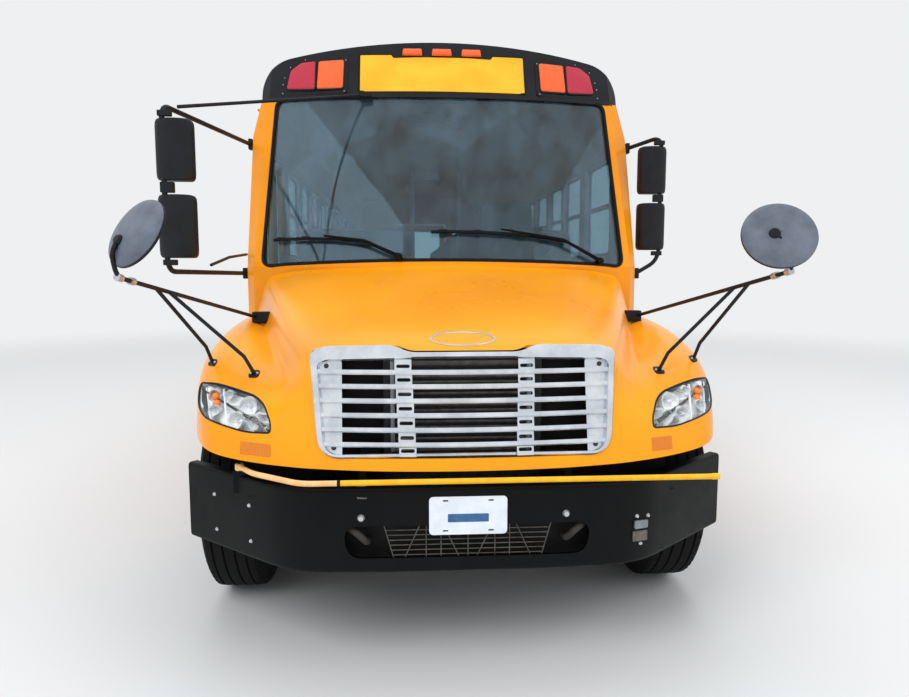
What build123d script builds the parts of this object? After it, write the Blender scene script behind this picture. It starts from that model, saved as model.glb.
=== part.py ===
from build123d import *
import os

# A bonneted school bus, in millimetres. +Z is up, +X is the bus's own left side, the front faces -Y.
# The origin is on the ground, under the middle of the bus. A station is a distance back from the
# middle of the front bumper's face.

# Overall
LENGTH = 11200.0
BODY_WIDTH = 2438.0
ROOF_TOP = 3085.0
WALL = 45.0
SEAT_GAP = 0.3
RUN_GAP = 6.0

# Running gear
WHEELBASE = 6579.0
FRONT_AXLE_STATION = 1020.0
TYRE_RADIUS = 525.0
TYRE_WIDTH = 279.0
TYRE_WALL = 22.0
TREAD_THICKNESS = 30.0
RIM_RADIUS = 286.0
RIM_WIDTH = 216.0
RIM_THICKNESS = 9.0
FRONT_TRACK_HALF = 1060.0
DUAL_SPACING = 320.0
STUD_CIRCLE = 285.75
STUD_COUNT = 10
HAND_HOLE_CIRCLE = 233.0
HAND_HOLE_RADIUS = 24.0
NUT_RADIUS = 17.0
SPINDLE_RADIUS = 42.0
BEARING_GAP = 0.05
DRUM_RADIUS = 205.0
DRUM_WALL = 12.0
KINGPIN_X = 880.0
KINGPIN_RADIUS = 22.0
STEER_ARM = 230.0
BALL_PIN_RADIUS = 10.0
BALL_BOSS = 24.0
BALL_BOSS_RADIUS = 30.0
TIE_ROD_Z = 430.0
TIE_ROD_RADIUS = 16.0
AXLE_EYE_LOW = 480.0
AXLE_EYE_TOP = 570.0
AXLE_EYE_RADIUS = 52.0
KNUCKLE_LOW = 440.0
KNUCKLE_TOP = 612.0
KNUCKLE_RADIUS = 50.0
SPRING_WIDTH = 76.0
REAR_SPRING_OUT = 62.0
DIFFERENTIAL_RADIUS = 205.0
AXLE_TUBE_RADIUS = 68.0
SHAFT_RADIUS = 46.0
REAR_HUB_X = 900.0
DISC_PILOT = 112.0
DISC_KNEE = 188.0
HUB_RADIUS = 84.0
FLANGE_RADIUS = 168.0
# Rims of one hub: middle of the band, the disc's two faces at the hub and its middle at the band,
# all as distances out from the bus's middle
FRONT_RIMS = ((1060.0, 1134.0, 1148.0, 1092.0),)
REAR_RIMS = ((1060.0, 900.0, 914.0, 985.0), (740.0, 886.0, 900.0, 815.0))
# Hub's ends, brake drum's ends and the nuts' seat, also as distances out
FRONT_HUB = ((985.0, 1102.0, 1196.0), (985.0, 1114.0), 1148.0)
REAR_HUB = ((846.0, 992.0, 1040.0), (700.0, 880.0), 914.0)
CORNERS = (("left", 1), ("right", -1))

# Chassis
RAIL_OUTER_X = 430.0
RAIL_FLANGE = 80.0
RAIL_WEB = 10.0
RAIL_BOTTOM = 620.0
RAIL_TOP = 870.0
RAIL_FRONT_STATION = 130.0
FRONT_SPRING_X = RAIL_OUTER_X - 42.0
CROSS_STATIONS = (2500, 3500, 4600, 5800, 6900, 8300, 9400, 10600)
CROSS_WIDTH = 60.0
CROSS_HEIGHT = 150.0
TANK_STATION = 4300.0
TANK_LENGTH = 1300.0
TANK_WIDTH = 600.0
TANK_HEIGHT = 270.0
TANK_CENTRE_Z = 730.0
MUFFLER_STATION = 3300.0
MUFFLER_LENGTH = 1500.0
MUFFLER_RADIUS = 120.0
MUFFLER_X = 620.0
MUFFLER_Z = 700.0
TAILPIPE_RADIUS = 50.0

# Engine, gearbox and radiator, as plain blocks: (low, high) pairs, the second of stations
ENGINE_BLOCK = ((-330.0, 330.0), (480.0, 1480.0), (640.0, 1235.0))
GEARBOX_BLOCK = ((-190.0, 190.0), (1480.0, 2150.0), (560.0, 940.0))
ENGINE_MOUNT = ((900.0, 960.0), (690.0, 760.0))
RADIATOR_BLOCK = ((-335.0, 335.0), (285.0, 350.0), (715.0, 1262.0))
RADIATOR_MOUNT = ((295.0, 340.0), (760.0, 800.0))
PROPSHAFT_Z = 590.0

# Front bumper and the crossing arm in front of it
BUMPER_TOP = 775.0
BUMPER_BOTTOM = 440.0
BUMPER_DEPTH = 45.0
BUMPER_PLATE = 8.0
BUMPER_END_X = 1200.0
BUMPER_END_STATION = 455.0
BUMPER_BEND_X = 690.0
BUMPER_BEND_STATION = 20.0
BUMPER_BEND_RADIUS = 420.0
BUMPER_FLAT_X = 300.0
BUMPER_EASE_RADIUS = 1500.0
ARM_OFFSET = 30.0
ARM_DIAMETER = 22.0
ARM_Z = 812.0
ARM_PIVOT_X = -925.0
ARM_PIVOT_STATION = 232.0
ARM_PIN_RADIUS = 7.0
ARM_HUB_RADIUS = 18.0
ARM_TIP_X = 985.0
AIR_WAY_HALF = 330.0
AIR_WAY_HEIGHTS = (497.0, 620.0)
TOW_WAY = (350.0, 490.0)
TOW_WAY_HEIGHTS = (500.0, 612.0)
PLATE_HALF = 152.5
PLATE_HEIGHTS = (590.0, 742.0)
PLATE_THICKNESS = 4.0

# Body shell
SKIRT_Z = 520.0
LEAN_Z = 2480.0
EAVE_Z = 2712.0
EAVE_HALF = 1163.0
CROWN_DROP = 145.0
ROOF_CORNER_RADIUS = 235.0
FLOOR_TOP = 1030.0
FLOOR_THICKNESS = 40.0
SILL_WIDTH = 60.0
SILL_COUNT = 12
RAIL_HEIGHTS = (1655.0, 1400.0, 1065.0, 700.0)
RAIL_WIDTH = 88.0
RAIL_PROUD = 14.0

# Windscreen and cowl, as stations of the raked and bowed front
SCREEN_BASE_Z = 1640.0
SCREEN_BASE_MID = 1500.0
SCREEN_BASE_CORNER = 1740.0
SCREEN_HEAD_MID = 1955.0
SCREEN_HEAD_CORNER = 2100.0
SCREEN_BASE_HALF = 1165.0
SCREEN_HEAD_HALF = 1112.0
SCREEN_LOW_HALF = 1112.0
SCREEN_TOP_HALF = 1062.0
SCREEN_SILL_BOW = 34.0
SCREEN_CORNER = 55.0
PILLAR_DEPTH = 80.0
COWL_BOX_Z = 1250.0
FIREWALL_STATION = 1830.0
FRAME_BACK_STATION = 2186.0
CAP_BACK_STATION = 2400.0
GLASS_THICKNESS = 6.0
GLASS_INSET = 10.0

# Side windows
WINDOW_FIRST_STATION = 3080.0
WINDOW_PITCH = 711.0
WINDOW_COUNT = 11
WINDOW_WIDTH = 621.0
WINDOW_SILL = 1720.0
WINDOW_HEAD = 2400.0
WINDOW_RADIUS = 60.0
DRIVER_WINDOW_FRONT = 2260.0
DRIVER_WINDOW_REAR = 2960.0
REAR_WINDOW_X = 815.0
REAR_WINDOW_Z = 2060.0
REAR_WINDOW_WIDTH = 440.0
REAR_WINDOW_HEIGHT = 680.0

# Entrance door on the right side, two leaves
DOOR_FRONT_STATION = 2192.0
DOOR_REAR_STATION = 2952.0
DOOR_BOTTOM = 395.0
DOOR_TOP = 2405.0
LEAF_THICKNESS = 40.0
LEAF_MEETING_GAP = 14.0
DOOR_GLASS = ((560.0, 1180.0), (1270.0, 2330.0))
DOOR_RAIL = 62.0
DOOR_GLASS_INSET = 14.0
HINGE_RADIUS = 9.0
HINGE_OFFSET = 10.0
HINGE_LENGTH = 60.0
HINGE_EDGE = 2.0
HINGE_LEAF = 40.0
HINGE_PLATE = 6.0
HINGE_ROWS = (600.0, 1400.0, 2150.0)
STEP_COUNT = 3
STEP_BOTTOM = 380.0
STEP_INNER_X = 560.0
STEP_PLATE = 6.0

# Stop arm, folded against the left wall; its hinge is on its front edge
STOP_STATION = 3060.0
STOP_Z = 1530.0
STOP_SIZE = 228.0
STOP_KNUCKLE = 90.0

# Emergency door in the rear wall
EMERGENCY_HALF = 475.0
EMERGENCY_BOTTOM = 1045.0
EMERGENCY_TOP = 2500.0
EMERGENCY_GLASS = ((1160.0, 1600.0), (1740.0, 2380.0))
EMERGENCY_STILE = 95.0
EMERGENCY_HINGE_ROWS = (1250.0, 1670.0, 2300.0)
EMERGENCY_HINGE_X = EMERGENCY_HALF + 3.0
REAR_WALL_DEPTH = 95.0
REAR_CORNER_RADIUS = 70.0
REAR_BUMPER_DEPTH = 62.0
REAR_BUMPER_TOP = 800.0
REAR_BUMPER_BOTTOM = 560.0

# Roof hatches
HATCH_STATIONS = (4300.0, 8900.0)
HATCH_SIZE = 620.0
HATCH_COLLAR = 30.0
HATCH_COLLAR_HEIGHT = 22.0
HATCH_THICKNESS = 34.0
HATCH_BASE = ROOF_TOP + HATCH_COLLAR_HEIGHT + SEAT_GAP
HATCH_HINGE_Z = HATCH_BASE + HINGE_RADIUS + 1.0
HATCH_HINGE_PLACES = (-230.0, 170.0)
ROOF_SEAM_MARGIN = 30.0

# Seats
SEAT_ROWS = 11
SEAT_FIRST = 3430.0
AISLE_HALF = 190.0
BENCH_Z = FLOOR_TOP + 330.0
BENCH_DEPTH = 400.0
BENCH_CUSHION = 130.0
BENCH_BACK = 640.0
BACK_THICKNESS = 70.0
BENCH_LEG_X = (260.0, 300.0)
DRIVER_SEAT_STATION = 2760.0
DRIVER_SEAT_X = 340.0
DRIVER_SEAT_WIDTH = 480.0
DRIVER_SEAT_Z = FLOOR_TOP + 380.0

# Dashboard and steering wheel
DASH_BACK_STATION = 2100.0
STEERING_CENTRE = (580.0, 2380.0, 1790.0)
STEERING_RADIUS = 228.0
STEERING_RIM = 26.0
STEERING_HUB = 60.0
COLUMN_RADIUS = 36.0
COLUMN_LENGTH = 330.0

# Lamps and blank signs: places across and up
LAMP_PROUD = 12.0
SIGN_PROUD = 3.0
SIGN_WIDTH = 1060.0
FRONT_SIGN = (2845.0, 230.0)
REAR_SIGN = (2700.0, 220.0)
WARNING_LAMPS = ((-930, 2838), (-722, 2838), (722, 2838), (930, 2838))
REAR_WARNING_LAMPS = ((-900, 2700), (-690, 2700), (690, 2700), (900, 2700))
TAIL_LAMPS = ((-860, 1330), (860, 1330), (-860, 1120), (860, 1120))
TAIL_LAMP_RADIUS = 88.0
MARKER_LAMPS = ((-192, 3015), (0, 3018), (192, 3015))
MARKER_WIDTH = 125.0
MARKER_HEIGHT = 40.0
LAMP_WIDTH = 175.0
LAMP_HEIGHT = 160.0
LAMP_CORNER = 18.0

# Tilting hood with its wings
HOOD_WALL = 12.0
HOOD_LIP_Z = 832.0
HOOD_NOSE_STATION = 33.0
HOOD_RAKE = 0.30
HOOD_HALF = 1225.0
HOOD_LEAN = 0.05
HOOD_REAR_STATION = 1800.0
HOOD_REAR_GAP = 15.0
ARCH_RADIUS = 630.0
ARCH_LINER_INNER_X = 740.0
WING_INNER_X = 560.0
WING_EDGE_RADIUS = 110.0
HOOD_PIVOT_STATION = 110.0
HOOD_PIVOT_Z = 832.0
HOOD_PIVOT_X = 400.0
HOOD_EAR = 12.0
HOOD_PIN_RADIUS = 10.0
HOOD_LOW = 700.0
# The hood's raised middle, as half sections: station, then the height of the crest, and the across
# and height of the crease, of the shoulder and of the valley beside the wing
HOOD_SECTIONS = (
    (0.0, 1275.0, (345.0, 1275.0), (615.0, 1240.0), (665.0, 1120.0)),
    (450.0, 1378.0, (395.0, 1385.0), (730.0, 1300.0), (775.0, 1180.0)),
    (1800.0, 1755.0, (940.0, 1652.0), (1125.0, 1600.0), (1165.0, 1345.0)),
)
# Headlamp outline seen from the front, for the left side: across and height
LAMP_OUTLINE = ((1125, 1128), (985, 1112), (848, 1066), (808, 1010), (806, 962), (925, 932), (1105, 955),
                (1157, 990), (1172, 1060))
LAMP_REACH = 620.0
LAMP_DEPTH = 48.0

# Grille
GRILLE_PROUD = 8.0
GRILLE_DEPTH = 26.0
GRILLE_TOP_HALF = 622.0
GRILLE_BOTTOM_HALF = 585.0
GRILLE_TOP = 1300.0
GRILLE_BOTTOM = 872.0
GRILLE_BORDER = 38.0
GRILLE_CORNER = 95.0
GRILLE_REACH = 420.0
END_PLATE_X = GRILLE_TOP_HALF - 75.0
END_PLATE_WIDTH = 100.0
SLAT_COUNT = 6
SLAT_HEIGHT = 22.0
LADDER_X = 232.0
LADDER_WIDTH = 84.0

# Mirrors
MIRROR_REACH = 1440.0
MIRROR_HEAD_WIDTH = 178.0
MIRROR_HEAD_DEPTH = 90.0
MIRROR_TUBE = 12.0
CROSSVIEW_RADIUS = 143.0
CROSSVIEW_TUBE = 8.0
CROSSVIEW_CENTRE = (1235.0, 75.0, 1751.0)
CROSSVIEW_DEPTH = 34.0
# Rear-view mirrors on tube frames: side, station of the heads, then the heights of the two heads' ends
MIRROR_FRAMES = ((-1, 920.0, (2339.0, 2047.0), (1980.0, 1676.0)),
                 (1, 1920.0, (2408.0, 2111.0), (2050.0, 1751.0)))
MIRROR_FOOT_TOP = (2128.0, 2430.0)
MIRROR_FOOT_LOW = (1866.0, 1600.0)
MIRROR_FOOT = 34.0
# Crossview mirrors: side, the way the glass looks, the boss's place on the shell (across and up from
# the middle), then the arm's two bends and its end at the hood's bracket
CROSSVIEW = (
    (-1, (0.531, 0.705, -0.469), (-45, -41), (-1312, 30, 1672), (-1302, 40, 1589), (-1050, 1240, 1364)),
    (1, (0.224, 0.866, -0.447), (-25, -8), (1272, 30, 1684), (1274, 40, 1612), (1050, 1240, 1364)),
)
# Legs of the arm: how far along the tube they start, then the foot on the wing
CROSSVIEW_LEGS = ((0.21, (1112, 700, 1200)), (0.29, (900, 500, 1165)))

BUMPER_FACE_Y = -LENGTH / 2 + ARM_OFFSET + ARM_DIAMETER / 2
BODY_HALF = BODY_WIDTH / 2
ENTRANCE_HINGE_X = -BODY_HALF - HINGE_OFFSET
STOP_X = BODY_HALF + 34.0
REAR_Y = LENGTH / 2
REAR_WALL_Y = REAR_Y - REAR_BUMPER_DEPTH


def at(station):
    """Y of a station."""
    return BUMPER_FACE_Y + station


def across(y):
    """Upright plane across the bus at y; its sketch axes are X and Z."""
    return Plane.XZ.offset(-y)


def alongside(x):
    """Upright plane along the bus at x; its sketch axes are Y and Z."""
    return Plane.YZ.offset(x)


def block(x, y, z):
    """A box from three (low, high) pairs, placed where it stands."""
    with Locations(((x[0] + x[1]) / 2, (y[0] + y[1]) / 2, (z[0] + z[1]) / 2)):
        Box(abs(x[1] - x[0]), abs(y[1] - y[0]), abs(z[1] - z[0]))


def cut_block(x, y, z):
    """Cuts a box given by three (low, high) pairs."""
    with Locations(((x[0] + x[1]) / 2, (y[0] + y[1]) / 2, (z[0] + z[1]) / 2)):
        Box(abs(x[1] - x[0]), abs(y[1] - y[0]), abs(z[1] - z[0]), mode=Mode.SUBTRACT)


def save(name, piece):
    """Labels a finished piece and writes its file."""
    piece.part.label = name
    export_step(piece.part, "parts/" + name + ".step")


def body_section(plane, inset):
    """The body's outline across, moved in by inset and running below the skirt."""
    half = BODY_HALF - inset
    eave = EAVE_HALF - inset
    crown = ROOF_TOP - inset
    shoulder = crown - CROWN_DROP
    low = SKIRT_Z - WALL
    with BuildSketch(plane, mode=Mode.PRIVATE) as outline:
        with BuildLine():
            ThreePointArc((-eave, shoulder), (0, crown), (eave, shoulder))
            Polyline((eave, shoulder), (eave, EAVE_Z), (half, LEAN_Z), (half, low))
            Polyline((half, low), (-half, low))
            Polyline((-half, low), (-half, LEAN_Z), (-eave, EAVE_Z), (-eave, shoulder))
        make_face()
        corners = outline.vertices().group_by(Axis.Y)[-1]
        fillet(corners, ROOF_CORNER_RADIUS - inset)
    return outline.sketch


def nose_outline(z, inset):
    """Plan of the body's bowed front at height z, moved in by inset."""
    share = (z - SCREEN_BASE_Z) / (EAVE_Z - SCREEN_BASE_Z)
    mid = at(SCREEN_BASE_MID + share * (SCREEN_HEAD_MID - SCREEN_BASE_MID) + inset)
    corner = at(SCREEN_BASE_CORNER + share * (SCREEN_HEAD_CORNER - SCREEN_BASE_CORNER) + inset)
    turn = SCREEN_BASE_HALF + share * (SCREEN_HEAD_HALF - SCREEN_BASE_HALF) - inset
    half = BODY_HALF - inset
    back = at(CAP_BACK_STATION)
    with BuildSketch(Plane.XY.offset(z), mode=Mode.PRIVATE) as outline:
        with BuildLine():
            ThreePointArc((-turn, corner), (0, mid), (turn, corner))
            Polyline((turn, corner), (half, corner + PILLAR_DEPTH), (half, back), (-half, back),
                     (-half, corner + PILLAR_DEPTH), (-turn, corner))
        make_face()
    return outline.sketch


def nose_volume(inset):
    """The body's front as a closed form, from the cowl box up to the roof, moved in by inset."""
    top = ROOF_TOP + WALL
    with BuildPart() as volume:
        loft([nose_outline(SCREEN_BASE_Z, inset), nose_outline(top, inset)], ruled=True)
        extrude(nose_outline(SCREEN_BASE_Z, inset), amount=-(SCREEN_BASE_Z - COWL_BOX_Z - inset))
        reach = CAP_BACK_STATION - SCREEN_BASE_MID + WALL
        extrude(body_section(across(at(CAP_BACK_STATION)), inset), amount=reach, mode=Mode.INTERSECT)
    return volume.part


def hood_plan(z, inset):
    """Plan of the hood's raked nose and its sides at height z, moved in by inset."""
    back = (z - HOOD_LIP_Z) * HOOD_RAKE + inset
    lean = (z - HOOD_LIP_Z) * HOOD_LEAN + inset
    nose = at(HOOD_NOSE_STATION + back)
    with BuildSketch(Plane.XY.offset(z), mode=Mode.PRIVATE) as outline:
        with BuildLine():
            bow = ThreePointArc((-1030 + lean, nose + 150), (0, nose), (1030 - lean, nose + 150))
            turn = ThreePointArc(bow @ 1, (1140 - lean, nose + 215), (1185 - lean, nose + 370))
            rear = at(HOOD_REAR_STATION)
            side = Polyline(turn @ 1, (HOOD_HALF - lean, nose + 640), (HOOD_HALF - lean, rear),
                            (-HOOD_HALF + lean, rear), (-HOOD_HALF + lean, nose + 640),
                            (-1185 + lean, nose + 370))
            ThreePointArc(side @ 1, (-1140 + lean, nose + 215), bow @ 0)
        make_face()
    return outline.sketch


def hood_middle(inset):
    """Closed form of the hood's raised middle, moved in by inset."""
    faces = []
    for station, crest, crease, shoulder, valley in HOOD_SECTIONS:
        right = [(0, crest - inset), (crease[0] - inset, crease[1] - inset),
                 (shoulder[0] - inset, shoulder[1] - inset), (valley[0] - inset, valley[1]),
                 (valley[0] - inset, HOOD_LOW)]
        left = [(-x, z) for x, z in reversed(right[1:])]
        with BuildSketch(across(at(station)), mode=Mode.PRIVATE) as section:
            with BuildLine():
                Polyline(*right, *left, close=True)
            make_face()
        faces.append(section.sketch)
    with BuildPart() as middle:
        loft(faces, ruled=True)
    return middle.part


def wing_pair(inset):
    """Closed form of both wings, moved in by inset."""
    front = at(0)
    rear = at(HOOD_REAR_STATION)
    with BuildPart() as wings:
        with BuildSketch(alongside(WING_INNER_X)) as profile:
            with BuildLine():
                ThreePointArc((front, 905 - inset), (at(520), 1170 - inset), (at(1150), 1352 - inset))
                Polyline((at(1150), 1352 - inset), (rear, 1345 - inset), (rear, HOOD_LOW),
                         (front, HOOD_LOW), (front, 905 - inset))
            make_face()
        extrude(amount=HOOD_HALF - inset - WING_INNER_X)
        outer = wings.faces().sort_by(Axis.X)[-1]
        fillet(outer.edges().sort_by(Axis.Z)[-2:], WING_EDGE_RADIUS)
        mirror(about=Plane.YZ)
    return wings.part


def hood_volume(inset):
    """The whole hood as a closed form, moved in by inset."""
    low = hood_plan(HOOD_LOW, inset)
    high = hood_plan(ROOF_TOP, inset)
    with BuildPart() as plan:
        loft([low, high], ruled=True)
    with BuildPart() as volume:
        add(hood_middle(inset))
        add(wing_pair(inset))
        add(plan.part, mode=Mode.INTERSECT)
    return volume.part


def hatch_knuckle(x, edge_y, length):
    """Adds one barrel of a hatch hinge, lying across the bus in front of the lid."""
    with Locations(Location((x, edge_y - HINGE_OFFSET, HATCH_HINGE_Z), (0, 90, 0))):
        Cylinder(HINGE_RADIUS, length)


def side_wall(side):
    """One side wall, from the cowl frame back to the rear wall, with its windows cut."""
    front = at(FRAME_BACK_STATION)
    rear = REAR_WALL_Y - REAR_WALL_DEPTH
    inner = BODY_HALF - WALL
    with BuildPart() as wall:
        with BuildSketch(across(front)):
            with BuildLine():
                Polyline((side * BODY_HALF, SKIRT_Z), (side * BODY_HALF, LEAN_Z), (side * EAVE_HALF, EAVE_Z),
                         (side * (EAVE_HALF - WALL), EAVE_Z), (side * inner, LEAN_Z),
                         (side * inner, SKIRT_Z), close=True)
            make_face()
        extrude(amount=front - rear)
        with BuildSketch(alongside(0)):
            for centre, width in window_places(side):
                with Locations((centre, (WINDOW_SILL + WINDOW_HEAD) / 2)):
                    RectangleRounded(width, WINDOW_HEAD - WINDOW_SILL, WINDOW_RADIUS)
            with Locations((at(FRONT_AXLE_STATION) + WHEELBASE, TYRE_RADIUS)):
                Circle(ARCH_RADIUS)
        extrude(amount=side * BODY_WIDTH, mode=Mode.SUBTRACT)
        if side < 0:
            door_rear = at(DOOR_REAR_STATION + RUN_GAP)
            door_front = at(DOOR_FRONT_STATION - RUN_GAP)
            cut_block((-BODY_WIDTH, 0), (door_front, door_rear), (0, DOOR_TOP + RUN_GAP))
            cut_block((-BODY_WIDTH, 0), (door_rear, door_rear + SEAT_GAP), (DOOR_TOP, EAVE_Z + WALL))
            fixed_knuckles(door_hinge_y("rear"), 1)
        else:
            for turn in (-1, 1):
                z = STOP_Z + turn * (STOP_KNUCKLE / 2 + SEAT_GAP + HINGE_LENGTH / 4)
                hinge = at(STOP_STATION)
                block((BODY_HALF, STOP_X + HINGE_RADIUS), (hinge - HINGE_RADIUS, hinge + HINGE_RADIUS),
                      (z - HINGE_LENGTH / 4, z + HINGE_LENGTH / 4))
    return wall


def door_hinge_y(label):
    """Y of one entrance leaf's hinge."""
    if label == "front":
        return at(DOOR_FRONT_STATION) + HINGE_EDGE
    return at(DOOR_REAR_STATION) - HINGE_EDGE


def fixed_knuckles(hinge_y, away):
    """Adds the fixed halves of an entrance leaf's hinges; away is the way from the hinge to the wall."""
    for z in HINGE_ROWS:
        low = z + HINGE_LENGTH / 2 + SEAT_GAP
        with Locations((ENTRANCE_HINGE_X, hinge_y, low + HINGE_LENGTH / 4)):
            Cylinder(HINGE_RADIUS, HINGE_LENGTH / 2)
        leaf_end = hinge_y + away * HINGE_LEAF
        block((ENTRANCE_HINGE_X, -BODY_HALF), (hinge_y + away * HINGE_RADIUS, leaf_end),
              (low, low + HINGE_LENGTH / 2))
        block((ENTRANCE_HINGE_X, ENTRANCE_HINGE_X + HINGE_PLATE), (hinge_y, leaf_end),
              (low, low + HINGE_LENGTH / 2))


def window_places(side):
    """Centre along the bus and width of each opening in one side wall."""
    places = []
    for bay in range(WINDOW_COUNT):
        places.append((at(WINDOW_FIRST_STATION + (bay + 0.5) * WINDOW_PITCH), WINDOW_WIDTH))
    if side > 0:
        middle = (DRIVER_WINDOW_FRONT + DRIVER_WINDOW_REAR) / 2
        places.append((at(middle), DRIVER_WINDOW_REAR - DRIVER_WINDOW_FRONT))
    return places


os.makedirs("parts", exist_ok=True)
axle_y = at(FRONT_AXLE_STATION)
rear_axle_y = axle_y + WHEELBASE
firewall_y = at(FIREWALL_STATION)
wall_rear_y = REAR_WALL_Y - REAR_WALL_DEPTH

# Body shell
wall_left = side_wall(1)
save("side_wall_left", wall_left)
wall_right = side_wall(-1)
save("side_wall_right", wall_right)

with BuildPart() as roof:
    roof_front_y = at(CAP_BACK_STATION)
    extrude(body_section(across(roof_front_y), 0), amount=roof_front_y - wall_rear_y)
    extrude(body_section(across(roof_front_y), WALL), amount=roof_front_y - wall_rear_y, mode=Mode.SUBTRACT)
    split(bisect_by=Plane.XY.offset(EAVE_Z), keep=Keep.TOP)
    for station in HATCH_STATIONS:
        with Locations((0, at(station), ROOF_TOP)):
            outer = HATCH_SIZE + 2 * HATCH_COLLAR
            Box(outer, outer, 2 * HATCH_COLLAR_HEIGHT)
            Box(HATCH_SIZE, HATCH_SIZE, 8 * HATCH_COLLAR_HEIGHT, mode=Mode.SUBTRACT)
        edge_y = at(station) - outer / 2
        for x in HATCH_HINGE_PLACES:
            hatch_knuckle(x + HINGE_LENGTH * 0.75 + SEAT_GAP, edge_y, HINGE_LENGTH / 2)
            pin_y = edge_y - HINGE_OFFSET
            block((x + HINGE_LENGTH / 2 + SEAT_GAP, x + HINGE_LENGTH + SEAT_GAP), (pin_y - 4, pin_y + 4),
                  (ROOF_TOP - HATCH_COLLAR_HEIGHT, HATCH_HINGE_Z))
        reach = outer / 2 + ROOF_SEAM_MARGIN
        for seam in (at(station) - reach, at(station) + reach):
            cut_block((-BODY_HALF, BODY_HALF), (seam, seam + SEAT_GAP), (EAVE_Z - WALL, 2 * ROOF_TOP))
        for seam in (-reach, reach):
            cut_block((seam, seam + SEAT_GAP), (at(station) - reach, at(station) + reach + SEAT_GAP),
                      (EAVE_Z, 2 * ROOF_TOP))
roof_panels = {"roof": [], "roof_panel_front": [], "roof_panel_rear": []}
for panel in roof.solids():
    middle = panel.bounding_box().center()
    owner = "roof"
    for label, station in zip(("front", "rear"), HATCH_STATIONS):
        if abs(middle.X) < HATCH_SIZE / 2 and abs(middle.Y - at(station)) < HATCH_SIZE / 2:
            owner = "roof_panel_" + label
    roof_panels[owner].append(panel)
for name, panels in roof_panels.items():
    with BuildPart() as piece:
        add(panels)
    save(name, piece)

nose_outer = nose_volume(0)
nose_inner = nose_volume(WALL)
with BuildSketch(across(at(0)), mode=Mode.PRIVATE) as screen_opening:
    with BuildLine():
        low_z = SCREEN_BASE_Z + 2
        bottom = ThreePointArc((-SCREEN_LOW_HALF, low_z), (0, low_z + SCREEN_SILL_BOW),
                               (SCREEN_LOW_HALF, low_z))
        Polyline(bottom @ 1, (SCREEN_TOP_HALF, EAVE_Z - 4), (-SCREEN_TOP_HALF, EAVE_Z - 4), bottom @ 0)
    make_face()
    fillet(screen_opening.vertices(), SCREEN_CORNER)
screen_reach = CAP_BACK_STATION - PILLAR_DEPTH
with BuildPart() as front_frame:
    add(nose_outer)
    add(nose_inner, mode=Mode.SUBTRACT)
    split(bisect_by=Plane.XY.offset(EAVE_Z), keep=Keep.BOTTOM)
    split(bisect_by=across(at(FRAME_BACK_STATION)), keep=Keep.TOP)
    extrude(screen_opening.sketch, amount=-screen_reach, mode=Mode.SUBTRACT)
    cabin = BODY_HALF - WALL
    cut_block((-cabin, cabin), (firewall_y + WALL, at(FRAME_BACK_STATION)), (COWL_BOX_Z, COWL_BOX_Z + WALL))
    block((-BODY_HALF, BODY_HALF), (firewall_y, firewall_y + WALL), (FLOOR_TOP, COWL_BOX_Z + WALL))
    for side in (-1, 1):
        block((side * (BODY_HALF - WALL), side * BODY_HALF), (firewall_y, at(FRAME_BACK_STATION)),
              (SKIRT_Z, SCREEN_BASE_Z))
    fixed_knuckles(door_hinge_y("front"), -1)
save("front_frame", front_frame)

with BuildPart() as front_cap:
    add(nose_outer)
    add(nose_inner, mode=Mode.SUBTRACT)
    split(bisect_by=Plane.XY.offset(EAVE_Z), keep=Keep.TOP)
save("front_cap", front_cap)

with BuildPart() as windshield:
    add(nose_volume(GLASS_INSET))
    add(nose_volume(GLASS_INSET + GLASS_THICKNESS), mode=Mode.SUBTRACT)
    pane = offset(screen_opening.sketch, amount=-SEAT_GAP, mode=Mode.PRIVATE)
    extrude(pane, amount=-screen_reach, mode=Mode.INTERSECT)
save("windshield", windshield)

with BuildPart() as rear_wall:
    extrude(body_section(across(wall_rear_y), 0), amount=-REAR_WALL_DEPTH)
    split(bisect_by=Plane.XY.offset(SKIRT_Z), keep=Keep.TOP)
    back = rear_wall.faces().sort_by(Axis.Y)[-1]
    fillet(back.edges().sort_by(Axis.Z)[1:], REAR_CORNER_RADIUS)
    hollow = REAR_WALL_DEPTH - WALL
    extrude(body_section(across(wall_rear_y), WALL), amount=-hollow, mode=Mode.SUBTRACT)
    cut_block((-EMERGENCY_HALF - RUN_GAP, EMERGENCY_HALF + RUN_GAP), (wall_rear_y, REAR_Y),
              (EMERGENCY_BOTTOM - RUN_GAP, EMERGENCY_TOP + RUN_GAP))
    with BuildSketch(across(REAR_WALL_Y)):
        with Locations((-REAR_WINDOW_X, REAR_WINDOW_Z), (REAR_WINDOW_X, REAR_WINDOW_Z)):
            RectangleRounded(REAR_WINDOW_WIDTH, REAR_WINDOW_HEIGHT, WINDOW_RADIUS)
    extrude(amount=REAR_WALL_DEPTH, mode=Mode.SUBTRACT)
    for z in EMERGENCY_HINGE_ROWS:
        low = z + HINGE_LENGTH / 2 + SEAT_GAP
        with Locations((EMERGENCY_HINGE_X, REAR_WALL_Y + HINGE_OFFSET, low + HINGE_LENGTH / 4)):
            Cylinder(HINGE_RADIUS, HINGE_LENGTH / 2)
        block((EMERGENCY_HINGE_X, EMERGENCY_HINGE_X + HINGE_LEAF), (REAR_WALL_Y, REAR_WALL_Y + HINGE_OFFSET),
              (low, low + HINGE_LENGTH / 2))
save("rear_wall", rear_wall)

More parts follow.
